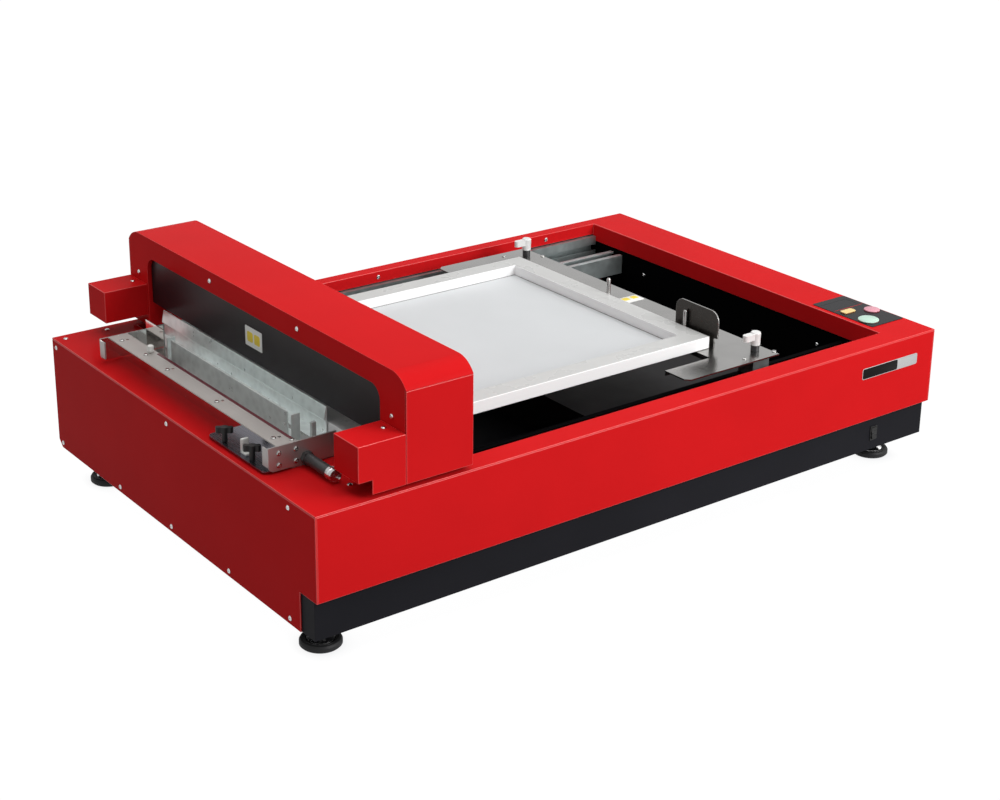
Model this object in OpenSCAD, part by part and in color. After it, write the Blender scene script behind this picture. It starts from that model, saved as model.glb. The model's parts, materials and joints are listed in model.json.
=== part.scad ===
// Flatbed screen-making press: a sheet metal body with an open well, an arch that travels along it,
// a frame holder at the left, an adjustable clamp plate at the right and a screen frame between them.
// Origin on the floor under the middle of the body, +X to the right, -Y to the front, +Z up, millimetres.

/* [Body] */
// Length of the body, left to right
body_l = 1030; // [980:5:1120]
// Depth of the body, front to back
body_w = 686; // [670:2:720]
// Height of the deck above the floor
deck_z = 202.5; // [198:0.5:217]
// Thickness of the sheet metal
sheet = 2; // [1.5:0.1:2.4]
// Height of the base frame's underside above the floor
base_z = 41; // [37:1:45]
// Height above the floor where the front panel ends and the black base shows
step_z = 93; // [83:1:99]
// How far the base frame stands back behind the panels
base_inset = 9; // [6:0.5:9]
// Width of the front rim of the deck
front_rim = 35; // [30:1:38]
// Width of the back rim of the deck
back_rim = 21; // [18:1:30]
// Width of the right rim of the deck, which carries the controls
right_rim = 76.5; // [72:0.5:90]
// Length of the deck left of the well
left_deck = 119; // [112:1:124]
// Height of the hem under the front and back rims
hem_h = 18; // [14:1:19]
// Height of the hem under the right rim
right_hem_h = 28; // [20:1:40]
// Chamfer at the lower back corner of the end panels
panel_chamfer = 10; // [6:1:14]

/* [Arch] */
// Distance from the body's left end to the arch
arch_x = 123; // [121:0.5:127]
// Width of the arch along the bed
arch_d = 94; // [92:1:104]
// Height of the arch's top above the floor
arch_top = 340; // [338:1:362]
// Gap between the deck and the lower edge of the arch
arch_gap = 6; // [4:0.5:9]
// Width of each leg of the arch
leg_w = 54; // [50:1:58]
// Height of the opening in the arch's faces above the floor
opening_top = 311; // [307:1:317]
// Corner radius of that opening
opening_r = 18; // [8:1:26]
// Radius of the rolled shoulders
shoulder_r = 35; // [26:1:42]
// Width over which a shoulder rolls
shoulder_w = 30; // [20:1:32]
// Height above the floor of the lower edge of the black panels
panel_z = 243.5; // [243:0.5:249]
// Length of the small side boxes
side_box_l = 65; // [50:1:68]
// Height of the side boxes' top above the floor
side_box_top = 271; // [263:1:281]
// Height of the side boxes' underside above the floor
side_box_z = 226; // [224:1:231]
// How far the arch travels along the bed
arch_travel = 480; // [300:5:480]

/* [Screen frame] */
// Length of the screen frame, left to right
screen_l = 582.5; // [560:0.5:590]
// Depth of the screen frame, front to back
screen_w = 427; // [415:1:430]
// Height of the frame's rails
screen_h = 17.3; // [14:0.1:19]
// Width of the front and back rails
screen_side = 30; // [25:1:31]
// Width of the left and right rails
screen_end = 32; // [30:1:36]
// Thickness of the stretched mesh
mesh_t = 0.6; // [0.4:0.1:1]
// Height of the mesh above the underside of the frame
mesh_lift = 1.5; // [1:0.1:2.5]

/* [Clamp plate] */
// Depth of the clamp plate, front to back
plate_w = 568; // [560:1:574]
// Width of the clamp plate along the bed, without its fingers
plate_l = 88; // [84:1:96]
// Length of the fingers
finger_l = 81; // [40:1:90]
// Width of the fingers
finger_w = 44; // [36:1:46]
// Radius of the locating pins
pin_r = 3; // [2.5:0.1:3.5]
// Height of the locating pins above the plate
pin_h = 40; // [28:1:44]
// Height of the upright stop tab
tab_h = 52.5; // [44:0.5:56]
// Length of the upright stop tab
tab_l = 86; // [60:1:90]
// How far the clamp plate travels for longer screens
plate_travel = 140; // [80:5:150]

/* [Frame holder] */
// Height of the holder's end plates
holder_h = 31; // [28:0.5:34]
// Depth of the holder, front to back
holder_w = 439; // [434:1:450]
// Width of the clamp strip
strip_w = 28; // [24:1:30]
// Height of the two walls above the clamp strip
wall_rise = 5; // [3:0.5:8]

/* [Rails] */
// Width of the guide rails
guide_w = 14; // [12:0.5:14.5]
// Height of the guide rails
guide_h = 38; // [32:1:40]
// Wall of the guide rails
guide_wall = 3; // [2.5:0.1:3.5]
// Width of the slot in the guide rails
slot_w = 10; // [9:0.5:12]
// Width of the support rails
support_w = 30; // [26:1:32]
// Height of the support rails
support_h = 31; // [26:1:33]

/* [Drive] */
// Radius on which the belt runs
pulley_r = 12; // [10:0.5:14]
// Width of the belt
belt_w = 10; // [8:1:11]
// Thickness of the belt
belt_t = 1.6; // [1.2:0.1:2]
// Side of the square motors
motor_a = 42; // [38:1:44]

/* [Platen] */
// Radius of the platen roller
platen_r = 10; // [9:0.5:10]
// How far the platen comes down
platen_drop = 39; // [34:0.5:39]
// Module of the lift gears
gear_m = 1; // [0.8:0.1:1]
// Teeth on each lift pinion
pinion_teeth = 16; // [14:1:18]

/* [Feet and controls] */
// Radius of the levelling feet
foot_r = 26; // [22:1:29]
// Distance of the feet from the body's ends
foot_x = 43; // [38:0.5:60]
// Distance of the feet from the body's front and back
foot_y = 64; // [56:1:74]
// Radius of the start button
start_r = 15; // [12:0.5:17]
// Radius of the stop button
stop_r = 11.5; // [9:0.5:13]
// How far a button travels
button_travel = 1; // [0.5:0.1:1.2]
// Radius of the screw heads
screw_r = 3.2; // [2.5:0.1:4]
// Height of the screw heads
screw_h = 1.8; // [1.4:0.1:2.2]

/* [Hidden] */
$fn = 48;

RED = [0.80, 0.07, 0.09];
BLACK = [0.10, 0.10, 0.11];
DARK = [0.22, 0.22, 0.23];
ZINC = [0.72, 0.76, 0.77];
STEEL = [0.80, 0.80, 0.80];
WHITE = [0.93, 0.93, 0.92];

// running clearance between a shaft and its hole, on the radius
fit = 0.05;
// clearance between pieces that slide past each other
slide_gap = 0.3;
// gap between neighbouring cover plates
seam = 0.5;

left = -body_l / 2;
right = body_l / 2;
front = -body_w / 2;
back = body_w / 2;
under_deck = deck_z - sheet;
well_left = left + left_deck;
well_right = right - right_rim;
well_front = front + front_rim;
well_back = back - back_rim;
base_front = front + base_inset;
base_back = back - base_inset;
base_top = step_z + sheet;

arch_left = left + arch_x;
arch_right = arch_left + arch_d;
arch_z = deck_z + arch_gap;
leg_in = back - leg_w;
shoulder_z = arch_top - shoulder_r;
shoulder_c = back - shoulder_w;
fold_z = shoulder_z + sqrt(shoulder_r * shoulder_r - shoulder_w * shoulder_w);
arm_in = leg_in + 5;
arm_t = 4;
arm_out = arm_in + arm_t;
arm_z = base_z + 68;
beam_z = arm_z + 20;

guide_in = arm_out + 17;
guide_top = deck_z - hem_h - 1.5;
guide_z = guide_top - guide_h;
slot_z = guide_z + guide_h / 2;
lining_back = guide_in + guide_w + 0.5 + sheet;
lining_front = -lining_back;
lining_end = base_back - sheet - 0.5;

screen_left = well_left + 13;
screen_right = screen_left + screen_l;
screen_z = deck_z + slide_gap;
screen_top = screen_z + screen_h;
plate_left = screen_right - screen_end + 8.5;
plate_right = plate_left + plate_l;
stop_x = screen_right + slide_gap + pin_r;
tab_x = stop_x + pin_r + 0.5;
lever_x = plate_right - 18.5;
lever_y = plate_w / 2 - 28.5;

head_x = screen_left + 53;
platen_x = head_x;
platen_z = panel_z + 1.5 + platen_r;
cheek_y = screen_w / 2 - screen_side - 2.5;
yoke_z = platen_z + platen_r + 1.5;
yoke_t = 4;
pinion_pitch_r = gear_m * pinion_teeth / 2;
shaft_z = yoke_z + yoke_t + pinion_pitch_r + gear_m + 1.5;
shaft_x = platen_x + 1.5;
rack_x = shaft_x + pinion_pitch_r;
rack_y = cheek_y - 31;
rod_x = platen_x - 10;
rod_y = rack_y - 50;
bearing_y = rack_y + 20;
motor_plate_y = bearing_y + 30;
motor_plate_t = 3;
lift_motor_l = 34;

support_in = plate_w / 2 - finger_w;
support_z = base_z + 99;
support_top = support_z + support_h;
block_top = under_deck;

belt_y = arm_out + 6;
belt_z = base_z + 84;
motor_x = right - 45;
idler_x = left + 35;

holder_left = left + 14;
holder_right = left + 107;
holder_z = deck_z + 2.5;
holder_top = holder_z + holder_h;
strip_left = left + 26;
strip_right = strip_left + strip_w;
low_wall_x = strip_right + 29;
high_wall_x = well_left + 10;
wall_top = holder_top + wall_rise;
plunger_x = left + 65;
plunger_z = deck_z + 10;
plunger_r = 7;
holder_front = -holder_w / 2;
strip_web = strip_right - 8;
strip_screw_y = [-196, -61, 68, 196];
knob_x = holder_left + 2.4;
knob_y0 = -178;
knob_y1 = -112;

overlay_x0 = right - 68.5;
overlay_x1 = right - 3;
overlay_y0 = front + 56;
overlay_y1 = front + 173;
overlay_t = 0.8;
overlay_z = deck_z + overlay_t;

supply_x = 90;
supply_y = 30;
supply_l = 140;
supply_w = 100;
supply_h = 46;
board_x = 100;
board_y = -150;
board_z = base_z + 20;
board_l = 180;
board_w = 120;

inlet_x = right - 38;
inlet_z = base_top + 18;
switch_x = right - 103;
switch_z = base_z + 24.5;
switch_w = 13.6;
switch_h = 21.2;

// a box between two corners
module box(a, b) {
    translate(a) cube(b - a);
}

// the children and their mirror image across the middle of the bed
module both_sides() {
    children();
    mirror([0, 1, 0]) children();
}

// a pan head screw whose head stands on the point at, along the direction dir
module screw(at, dir = [0, 0, 1]) {
    turn = dir[0] != 0 ? [0, 90 * dir[0], 0] : dir[1] != 0 ? [-90 * dir[1], 0, 0] : [0, 0, 0];
    translate(at) rotate(turn) difference() {
        union() {
            cylinder(r = screw_r, h = screw_h * 0.5);
            translate([0, 0, screw_h * 0.5]) cylinder(r1 = screw_r, r2 = screw_r * 0.7, h = screw_h * 0.5);
        }
        translate([0, 0, screw_h * 0.5]) cylinder(r = screw_r * 0.35, h = screw_h, $fn = 6);
    }
}

// a flat plate in a plane across X, drawn in (y, z), from x0 over thickness t
module plate_x(x0, t) {
    translate([x0, 0, 0]) rotate([90, 0, 90]) linear_extrude(t) children();
}

// a flat plate in a plane across Y, drawn in (x, z), from y0 backwards over thickness t
module plate_y(y0, t) {
    translate([0, y0 + t, 0]) rotate([90, 0, 0]) linear_extrude(t) children();
}

// a rectangle with rounded corners, from one corner to the other
module round_rect(a, b, r) {
    translate([a[0] + r, a[1]]) square([b[0] - a[0] - 2 * r, b[1] - a[1]]);
    translate([a[0], a[1] + r]) square([b[0] - a[0], b[1] - a[1] - 2 * r]);
    for (x = [a[0] + r, b[0] - r]) for (y = [a[1] + r, b[1] - r]) translate([x, y]) circle(r);
}

// body

module base_frame() {
    color(BLACK) difference() {
        union() {
            difference() {
                box([left + sheet, base_front, base_z], [right - sheet, base_back, base_top - sheet]);
                box([left + 2 * sheet, base_front + sheet, base_z + sheet],
                    [right - 2 * sheet, base_back - sheet, base_top]);
            }
            // stiffening ribs
            for (x = [-0.25, -0.08]) {
                box([x * body_l - 10, base_front + 1, base_z],
                    [x * body_l + 10, base_back - 1, base_z + 14]);
            }
        }
        translate([switch_x, base_front, switch_z]) rotate([90, 0, 0])
            linear_extrude(3 * sheet, center = true)
                square([switch_w - 0.8, switch_h - 0.8], center = true);
    }
}

module front_panel() {
    color(RED) {
        box([left + sheet, front, step_z], [right - sheet, front + sheet, under_deck]);
        box([left + sheet, front, step_z], [right - sheet, base_front + sheet, base_top]);
    }
}

module back_panel() {
    vent_pitch = 9;
    face = back - screw_h;
    color(RED) difference() {
        union() {
            box([left + sheet, face - sheet, base_z + panel_chamfer],
                [right - sheet, face, under_deck]);
            plate_x(left + sheet, body_l - 2 * sheet) polygon([
                [face - sheet, base_z + panel_chamfer], [face, base_z + panel_chamfer],
                [base_back + 0.2, base_z + 1], [base_back + 0.2, base_z + 1 + sheet * 1.6]]);
        }
        for (side = [-0.28, 0.2]) for (i = [0 : 11]) {
            translate([side * body_l + i * vent_pitch, face, base_z + 86]) rotate([90, 0, 0])
                linear_extrude(4 * sheet, center = true) round_rect([-2, -25], [2, 25], 1.9);
        }
        translate([inlet_x, face, inlet_z]) rotate([90, 0, 0])
            linear_extrude(4 * sheet, center = true) square([28.4, 20.4], center = true);
    }
}

module end_outline() {
    polygon([[front, step_z], [base_front + 28, step_z], [base_front + 28, base_z],
        [back - panel_chamfer, base_z], [back, base_z + panel_chamfer], [back, under_deck],
        [front, under_deck]]);
}

module left_end_panel() {
    color(RED) plate_x(left, sheet) end_outline();
}

module right_end_panel() {
    color(RED) plate_x(right - sheet, sheet) end_outline();
}

module top_cover() {
    color(RED) {
        difference() {
            box([left, front, under_deck], [right, back, deck_z]);
            box([well_left, well_front, under_deck - 1], [well_right, well_back, deck_z + 1]);
        }
        box([well_left, well_front - sheet, deck_z - hem_h], [well_right, well_front, under_deck]);
        box([well_left, well_back, deck_z - hem_h], [well_right, well_back + sheet, under_deck]);
        box([well_right, well_front - sheet, deck_z - right_hem_h],
            [well_right + sheet, well_back + sheet, under_deck]);
    }
}

module well_lining() {
    top = deck_z - right_hem_h - 0.5;
    belt_slot = [belt_z - pulley_r - 6, belt_z + pulley_r + 6];
    color(BLACK) {
        difference() {
            box([well_right + 2.5, -lining_end, base_z + sheet], [well_right + 4.5, lining_end, top]);
            box([well_right, belt_y - 5, belt_slot[0]], [well_right + 9, lining_back + 1, belt_slot[1]]);
        }
        difference() {
            box([well_left - 5, -lining_end, base_z + sheet], [well_left - 3, lining_end, under_deck]);
            box([well_left - 9, belt_y - 5, belt_slot[0]], [well_left, lining_back + 1, belt_slot[1]]);
        }
        box([well_left - 3, lining_back - sheet, base_top + 1],
            [well_right + 2.5, lining_back, guide_top + 1]);
        box([well_left - 3, lining_front, base_top + 1],
            [well_right + 2.5, lining_front + sheet, guide_top + 1]);
    }
}

module electronics_cover() {
    x0 = 60;
    x1 = 400;
    y1 = support_in - 8;
    top = arm_z - 6;
    color(DARK) difference() {
        box([x0, -y1, base_z + sheet], [x1, y1, top]);
        box([x0 + sheet, -y1 + sheet, base_z], [x1 - sheet, y1 - sheet, top - sheet]);
        for (i = [0 : 8]) {
            translate([x1 - 40, -60 + i * 12, top]) linear_extrude(3 * sheet, center = true)
                round_rect([-18, -2], [18, 2], 1.9);
        }
    }
}

// rails and drive

module guide_profile() {
    difference() {
        translate([guide_in, guide_z]) square([guide_w, guide_h]);
        translate([guide_in + guide_wall, guide_z + guide_wall])
            square([guide_w - 2 * guide_wall, guide_h - 2 * guide_wall]);
        translate([guide_in - 1, slot_z - slot_w / 2]) square([guide_wall + 2, slot_w]);
    }
}

module guide_rails() {
    color(ZINC) both_sides() plate_x(well_left, well_right - well_left) guide_profile();
}

module support_profile() {
    lip = 8;
    difference() {
        translate([support_in, support_z]) square([support_w, support_h]);
        translate([support_in + guide_wall, support_z + guide_wall])
            square([support_w - 2 * guide_wall, support_h - 2 * guide_wall]);
        translate([support_in + lip, support_top - guide_wall - 1])
            square([support_w - 2 * lip, guide_wall + 2]);
    }
}

module support_rails() {
    color(BLACK) both_sides() plate_x(well_left, well_right - 6 - well_left) support_profile();
}

module rail_brackets() {
    near = well_right - 70;
    color(ZINC) {
        both_sides() {
            // box bracket on the outer side of a support rail's right end
            difference() {
                box([near, support_in + support_w, support_z - 10],
                    [near + 50, arm_out + 3, support_z + 17]);
                box([near + 2, support_in + support_w + 2, support_z - 11],
                    [near + 48, arm_out + 4, support_z + 15]);
            }
            // posts under the support rails
            for (x = [well_left + 1, well_right - 130]) {
                box([x, support_in + 4, base_z + sheet], [x + 24, support_in + support_w - 4, support_z]);
            }
            // angles that hold the guide rails off the base
            for (x = [well_left + 3, 0, well_right - 70]) {
                box([x, guide_in + guide_w - 6, base_z + sheet], [x + 24, guide_in + guide_w, guide_z]);
            }
        }
        // motor plate
        difference() {
            box([motor_x - 24, belt_y - 4, base_z + sheet], [motor_x + 24, belt_y - 1.5, belt_z + 24]);
            translate([motor_x, belt_y, belt_z]) rotate([90, 0, 0]) cylinder(r = 8, h = 20, center = true);
        }
        // idler fork
        for (y = [belt_y - 4, belt_y + belt_w + 2]) difference() {
            box([idler_x - 8, y, base_z + sheet], [idler_x + 8, y + 2, belt_z + 10]);
            translate([idler_x, y, belt_z]) rotate([90, 0, 0])
                cylinder(r = 4 + fit, h = 20, center = true);
        }
    }
}

module drive_motor() {
    color(DARK) {
        difference() {
            translate([motor_x, belt_y - 4, belt_z]) rotate([90, 0, 0]) linear_extrude(40)
                round_rect([-motor_a / 2, -motor_a / 2], [motor_a / 2, motor_a / 2], 4);
            translate([motor_x, belt_y, belt_z]) rotate([90, 0, 0]) cylinder(r = 3 + fit, h = 24);
        }
    }
}

module pulley(x, shaft_r, y0, y1) {
    color(STEEL) translate([x, belt_y, belt_z]) rotate([-90, 0, 0]) {
        cylinder(r = pulley_r, h = belt_w);
        translate([0, 0, -0.3]) cylinder(r = pulley_r + 3, h = 1);
        translate([0, 0, belt_w - 0.7]) cylinder(r = pulley_r + 3, h = 1);
        translate([0, 0, y0]) cylinder(r = shaft_r, h = y1 - y0);
    }
}

module drive_pulley() {
    pulley(motor_x, 3, -22, belt_w + 3);
}

module idler_pulley() {
    pulley(idler_x, 4, -7, belt_w + 6);
}

// a long loop in (x, z) round both pulleys, at radius r
module belt_loop(r) {
    translate([idler_x, belt_z]) circle(r);
    translate([motor_x, belt_z]) circle(r);
    translate([idler_x, belt_z - r]) square([motor_x - idler_x, 2 * r]);
}

module drive_belt() {
    in_r = pulley_r + slide_gap;
    color(BLACK) plate_y(belt_y + 1, belt_w - 2) difference() {
        belt_loop(in_r + belt_t);
        belt_loop(in_r);
    }
}

module power_supply() {
    top = base_z + supply_h;
    color(STEEL) difference() {
        box([supply_x, supply_y, base_z + sheet], [supply_x + supply_l, supply_y + supply_w, top]);
        for (i = [0 : 9]) translate([supply_x + 10 + i * 12, supply_y + 10, top - 2])
            cube([6, supply_w - 20, 3]);
    }
}

module control_board() {
    top = board_z + 2;
    color([0.05, 0.30, 0.14]) translate([board_x, board_y, 0]) {
        box([0, 0, board_z], [board_l, board_w, top]);
        for (x = [6, board_l - 6]) for (y = [6, board_w - 6]) translate([x, y, base_z + sheet])
            cylinder(r = 3, h = board_z - base_z - sheet);
        // relays, a transformer and the row of plugs
        box([20, 20, top], [50, 50, top + 4]);
        box([90, 30, top], [140, 60, top + 12]);
        box([board_l - 18, 10, top], [board_l - 4, board_w - 30, top + 10]);
    }
}

// feet, switch and inlet

module at_feet() {
    for (x = [left + foot_x, right - foot_x]) for (y = [front + foot_y, back - foot_y])
        translate([x, y, 0]) children();
}

module foot_pads() {
    color(BLACK) at_feet() rotate_extrude() polygon([[0, 0], [foot_r - 2, 0], [foot_r, 2],
        [foot_r, 6.5], [foot_r - 1.5, 9], [foot_r - 4, 9.8], [foot_r - 7, 9], [foot_r - 8, 7.5], [0, 7.5]]);
}

module foot_studs() {
    color(STEEL) at_feet() {
        cap_z = 12;
        translate([0, 0, 7.5]) rotate_extrude() polygon([[0, 0], [foot_r - 8.5, 0], [foot_r - 9, 1.6],
            [foot_r - 12, 3.4], [foot_r - 17, 4.5], [0, 4.5]]);
        translate([0, 0, cap_z]) cylinder(r = 5, h = base_z - cap_z);
        translate([0, 0, base_z - 8]) cylinder(r = 9, h = 5, $fn = 6);
    }
}

module switch_bezel() {
    color(BLACK) translate([switch_x, base_front, switch_z]) rotate([90, 0, 0]) difference() {
        union() {
            linear_extrude(1.2)
                round_rect([-switch_w / 2, -switch_h / 2], [switch_w / 2, switch_h / 2], 1.5);
            translate([0, 0, -12]) linear_extrude(12)
                square([switch_w - 1.4, switch_h - 1.4], center = true);
        }
        translate([0, 0, -10]) linear_extrude(20) square([switch_w - 3.8, switch_h - 3.6], center = true);
    }
}

module power_rocker() {
    color(BLACK) translate([switch_x, base_front, switch_z]) rotate([-7, 0, 0]) {
        half = switch_h / 2 - 2.4;
        thick = switch_w - 4.6;
        plate_x(-thick / 2, thick) polygon([[4, 1.6 - half], [-0.5, -half], [-2.8, 0.2 - half], [-1.3, 0],
            [-2.8, half - 0.2], [-0.5, half], [4, half - 1.6]]);
        plate_x(-thick / 2, thick) circle(3);
    }
}

module power_inlet() {
    face = back - screw_h;
    color(BLACK) translate([inlet_x, face, inlet_z]) rotate([-90, 0, 0]) difference() {
        union() {
            linear_extrude(screw_h * 0.8) round_rect([-25, -12], [25, 12], 3);
            translate([0, 0, -16]) linear_extrude(16) square([28, 20], center = true);
        }
        translate([0, 0, -14]) linear_extrude(20) round_rect([-11.5, -7], [11.5, 7], 3);
        for (x = [-20, 20]) translate([x, 0, -1]) cylinder(r = 1.6, h = 4);
    }
    for (x = [-7, 0, 7]) color(STEEL) translate([inlet_x + x, face - 15, inlet_z]) rotate([-90, 0, 0])
        linear_extrude(11) square([2, 4], center = true);
}

// controls

module at_start() {
    translate([right - 51.5, front + 79, 0]) children();
}

module at_stop() {
    translate([right - 16, front + 105, 0]) children();
}

module at_select() {
    translate([right - 50, front + 120, 0]) children();
}

module control_overlay() {
    color(BLACK) {
        difference() {
            translate([0, 0, deck_z]) linear_extrude(overlay_t) difference() {
                round_rect([overlay_x0, overlay_y0], [overlay_x1, overlay_y1], 3);
                at_start() circle(start_r + slide_gap);
                at_stop() circle(stop_r + slide_gap);
                at_select() round_rect([-11.8, -6.3], [11.8, 6.3], 3.3);
            }
            box([overlay_x0 + 5, overlay_y1 - 36, deck_z + 0.4],
                [overlay_x1 - 9, overlay_y1 - 12, deck_z + 2]);
        }
        box([overlay_x0 + 5.2, overlay_y1 - 35.8, deck_z + 0.4],
            [overlay_x1 - 9.2, overlay_y1 - 12.2, deck_z + 0.7]);
    }
}

module start_button() {
    color([0.62, 0.85, 0.74]) at_start() translate([0, 0, deck_z + button_travel + 0.1]) {
        cylinder(r = start_r, h = 1.4);
        translate([0, 0, 1.4]) cylinder(r1 = start_r, r2 = start_r - 1.5, h = 0.6);
    }
}

module stop_button() {
    color([0.93, 0.60, 0.66]) at_stop() translate([0, 0, deck_z + button_travel + 0.1]) {
        cylinder(r = stop_r, h = 1.4);
        translate([0, 0, 1.4]) cylinder(r1 = stop_r, r2 = stop_r - 1.5, h = 0.6);
    }
}

module select_button() {
    color([0.93, 0.83, 0.55]) at_select() translate([0, 0, deck_z + button_travel + 0.1])
        linear_extrude(1.6) round_rect([-11.5, -6], [11.5, 6], 3);
}

module cover_screws() {
    upper = deck_z - 10.5;
    lower = base_z + 9;
    color(STEEL) {
        for (y = [front + 57, 6.8, back - 14]) {
            screw([left, y, upper], [-1, 0, 0]);
            screw([right, y, upper], [1, 0, 0]);
        }
        for (y = [front + 59, -141, 6.8, 151, back - 15]) {
            screw([left, y, lower], [-1, 0, 0]);
            screw([right, y, lower], [1, 0, 0]);
        }
        for (x = [left + 13, left + 75]) screw([x, back - 16.5, deck_z]);
        screw([left + 76.5, front + 48, deck_z]);
        for (x = [left + 20, -250, 0, 250, right - 20]) {
            screw([x, back - screw_h, under_deck - 12], [0, 1, 0]);
        }
        for (x = [10, 0.77 * well_right]) screw([x, well_back, deck_z - hem_h / 2], [0, -1, 0]);
        for (y = [292, 265, 195, -190]) screw([well_right + 2.5, y, deck_z - 55], [-1, 0, 0]);
    }
}

// frame holder at the left

module end_plate_outline() {
    r = 8;
    translate([holder_left + r, holder_z]) square([holder_right - holder_left - r, holder_h]);
    translate([holder_left, holder_z + r]) square([holder_right - holder_left, holder_h - r]);
    translate([holder_left + r, holder_z + r]) circle(r);
}

module holder_tray() {
    color(STEEL) {
        both_sides() {
            plate_y(holder_front, sheet) end_plate_outline();
            // short return at the outer end of each end plate
            box([holder_left, holder_front + sheet, holder_z + 6],
                [holder_left + sheet, holder_front + 14, holder_top - 2]);
        }
        box([strip_web, holder_front + sheet, deck_z],
            [well_left + 1.9, -holder_front - sheet, deck_z + 1.6]);
        // web under the clamp strip
        box([strip_web, holder_front + sheet, deck_z + 1.6],
            [strip_web + 1.6, -holder_front - sheet, holder_top - 1.6]);
        // ledge under the left rail of the screen frame
        box([well_left + 0.3, -190, deck_z - 1.6], [screen_left + 9, 190, deck_z]);
        box([well_left + 0.3, -190, deck_z - 1.6], [well_left + 1.9, 190, deck_z + 1.6]);
    }
}

module clamp_strip() {
    color(STEEL) difference() {
        box([strip_left, holder_front + sheet, holder_top - 1.6],
            [strip_right, -holder_front - sheet, holder_top]);
        for (y = strip_screw_y) translate([strip_left + 17, y, holder_top - 3]) cylinder(r = 2.4, h = 6);
    }
}

module holder_walls() {
    foot = deck_z + 1.6;
    color(ZINC) {
        // low wall with its foot
        box([low_wall_x, -147, foot], [low_wall_x + 1.6, 150, wall_top]);
        box([low_wall_x + 1.6, -147, foot], [low_wall_x + 18, 150, foot + 1.6]);
        // high wall with a folded lip that leans towards the low wall
        plate_y(-161, 420) polygon([[high_wall_x, foot], [high_wall_x + 1.6, foot],
            [high_wall_x + 1.6, wall_top], [high_wall_x, wall_top], [high_wall_x - 3, wall_top - 17],
            [high_wall_x, wall_top - 20]]);
        box([high_wall_x - 21, -161, foot], [high_wall_x, 259, foot + 1.6]);
        // end tabs
        for (y = [-157, 160]) box([low_wall_x, y, foot], [low_wall_x + 12, y + 1.6, wall_top - 1]);
        box([low_wall_x + 14, -181, foot], [low_wall_x + 20, -176, wall_top - 6]);
    }
}

module holder_fittings() {
    foot = deck_z + 1.6;
    color(STEEL) {
        // knob bracket: a flange along the holder's left side
        difference() {
            translate([0, 0, holder_z]) linear_extrude(1.6) {
                translate([holder_left - 5, holder_front + sheet + 8])
                    square([strip_web - holder_left + 5, -81 - 8 - holder_front - sheet - 8]);
                translate([holder_left - 5 + 8, holder_front + sheet])
                    square([strip_web - holder_left + 5 - 8, -81 - holder_front - sheet]);
                for (y = [holder_front + sheet + 8, -81 - 8]) translate([holder_left + 3, y]) circle(8);
            }
            for (y = [knob_y0, knob_y1]) translate([knob_x, y, holder_z - 1]) cylinder(r = 2 + fit, h = 4);
        }
        // upright plate near the back
        translate([strip_right + 14, 140, 0]) {
            box([0, 0, foot], [1.6, 50, foot + 57]);
            box([1.6, 0, foot], [12, 50, foot + 1.6]);
        }
        // strip screws
        for (y = strip_screw_y) screw([strip_left + 9, y, holder_top]);
        screw([strip_left + 11, 131, holder_top]);
        screw([strip_left + 24, holder_front + 7, holder_top]);
        for (x = [14, 37]) for (z = [7, 22]) {
            screw([holder_left + x, holder_front, holder_z + z], [0, -1, 0]);
        }
    }
}

// dark plunger body, screwed into the front end plate
module plunger_body() {
    color(DARK) translate([plunger_x, holder_front, plunger_z]) rotate([90, 0, 0]) difference() {
        union() {
            cylinder(r = plunger_r, h = 52);
            cylinder(r = plunger_r + 2, h = 6, $fn = 6);
        }
        translate([0, 0, 10]) cylinder(r = 3 + fit, h = 60);
    }
}

// white block beside the thumb knobs
module knob_spacer() {
    color(WHITE) {
        box([holder_left + 1, -156, holder_z + 1.6], [strip_left - 1, -152, holder_z + 20]);
        box([holder_left + 1, -165, holder_z + 1.6], [strip_left - 1, -156, holder_z + 4]);
    }
}

// a black thumb knob on a stud that turns in the bracket
module thumb_knob(y) {
    color(BLACK) translate([knob_x, y, holder_z]) {
        cylinder(r = 2, h = 20);
        translate([0, 0, 1.6 + slide_gap]) cylinder(r = 3.6, h = 12);
        translate([0, 0, 13]) rotate([0, 0, 35]) linear_extrude(8) union() {
            circle(4.8);
            square([17, 5.4], center = true);
            for (x = [-7.6, 7.6]) translate([x, 0]) circle(3.1);
        }
    }
}

module thumb_knob_front() {
    thumb_knob(knob_y0);
}

module thumb_knob_back() {
    thumb_knob(knob_y1);
}

module white_knob() {
    color(WHITE) translate([strip_left + 20, 135, holder_top + slide_gap]) {
        cylinder(r = 2.6, h = 2);
        translate([0, 0, 2]) cylinder(r = 4.2, h = 7);
        translate([0, 0, 9]) cylinder(r1 = 4.2, r2 = 3.2, h = 1);
    }
}

module plunger_pin() {
    color(STEEL) translate([plunger_x, holder_front, plunger_z]) rotate([90, 0, 0]) {
        translate([0, 0, 14]) cylinder(r = 3, h = 46);
        translate([0, 0, 52 + slide_gap]) difference() {
            cylinder(r = plunger_r + 1, h = 12);
            translate([0, 0, 4]) rotate_extrude() translate([plunger_r + 2.4, 2]) circle(2.6);
        }
    }
}

// the travelling arch

// outline of the arch across the bed, drawn in (y, z), shrunk by the amount i
module arch_outline(i = 0) {
    intersection() {
        translate([front + i, arch_z]) square([body_w - 2 * i, arch_top - arch_z - i]);
        union() {
            translate([-shoulder_c, arch_z]) square([2 * shoulder_c, arch_top - arch_z]);
            translate([front, arch_z]) square([body_w, shoulder_z - arch_z]);
            for (y = [-shoulder_c, shoulder_c]) translate([y, shoulder_z]) circle(shoulder_r - i, $fn = 96);
        }
    }
}

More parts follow.
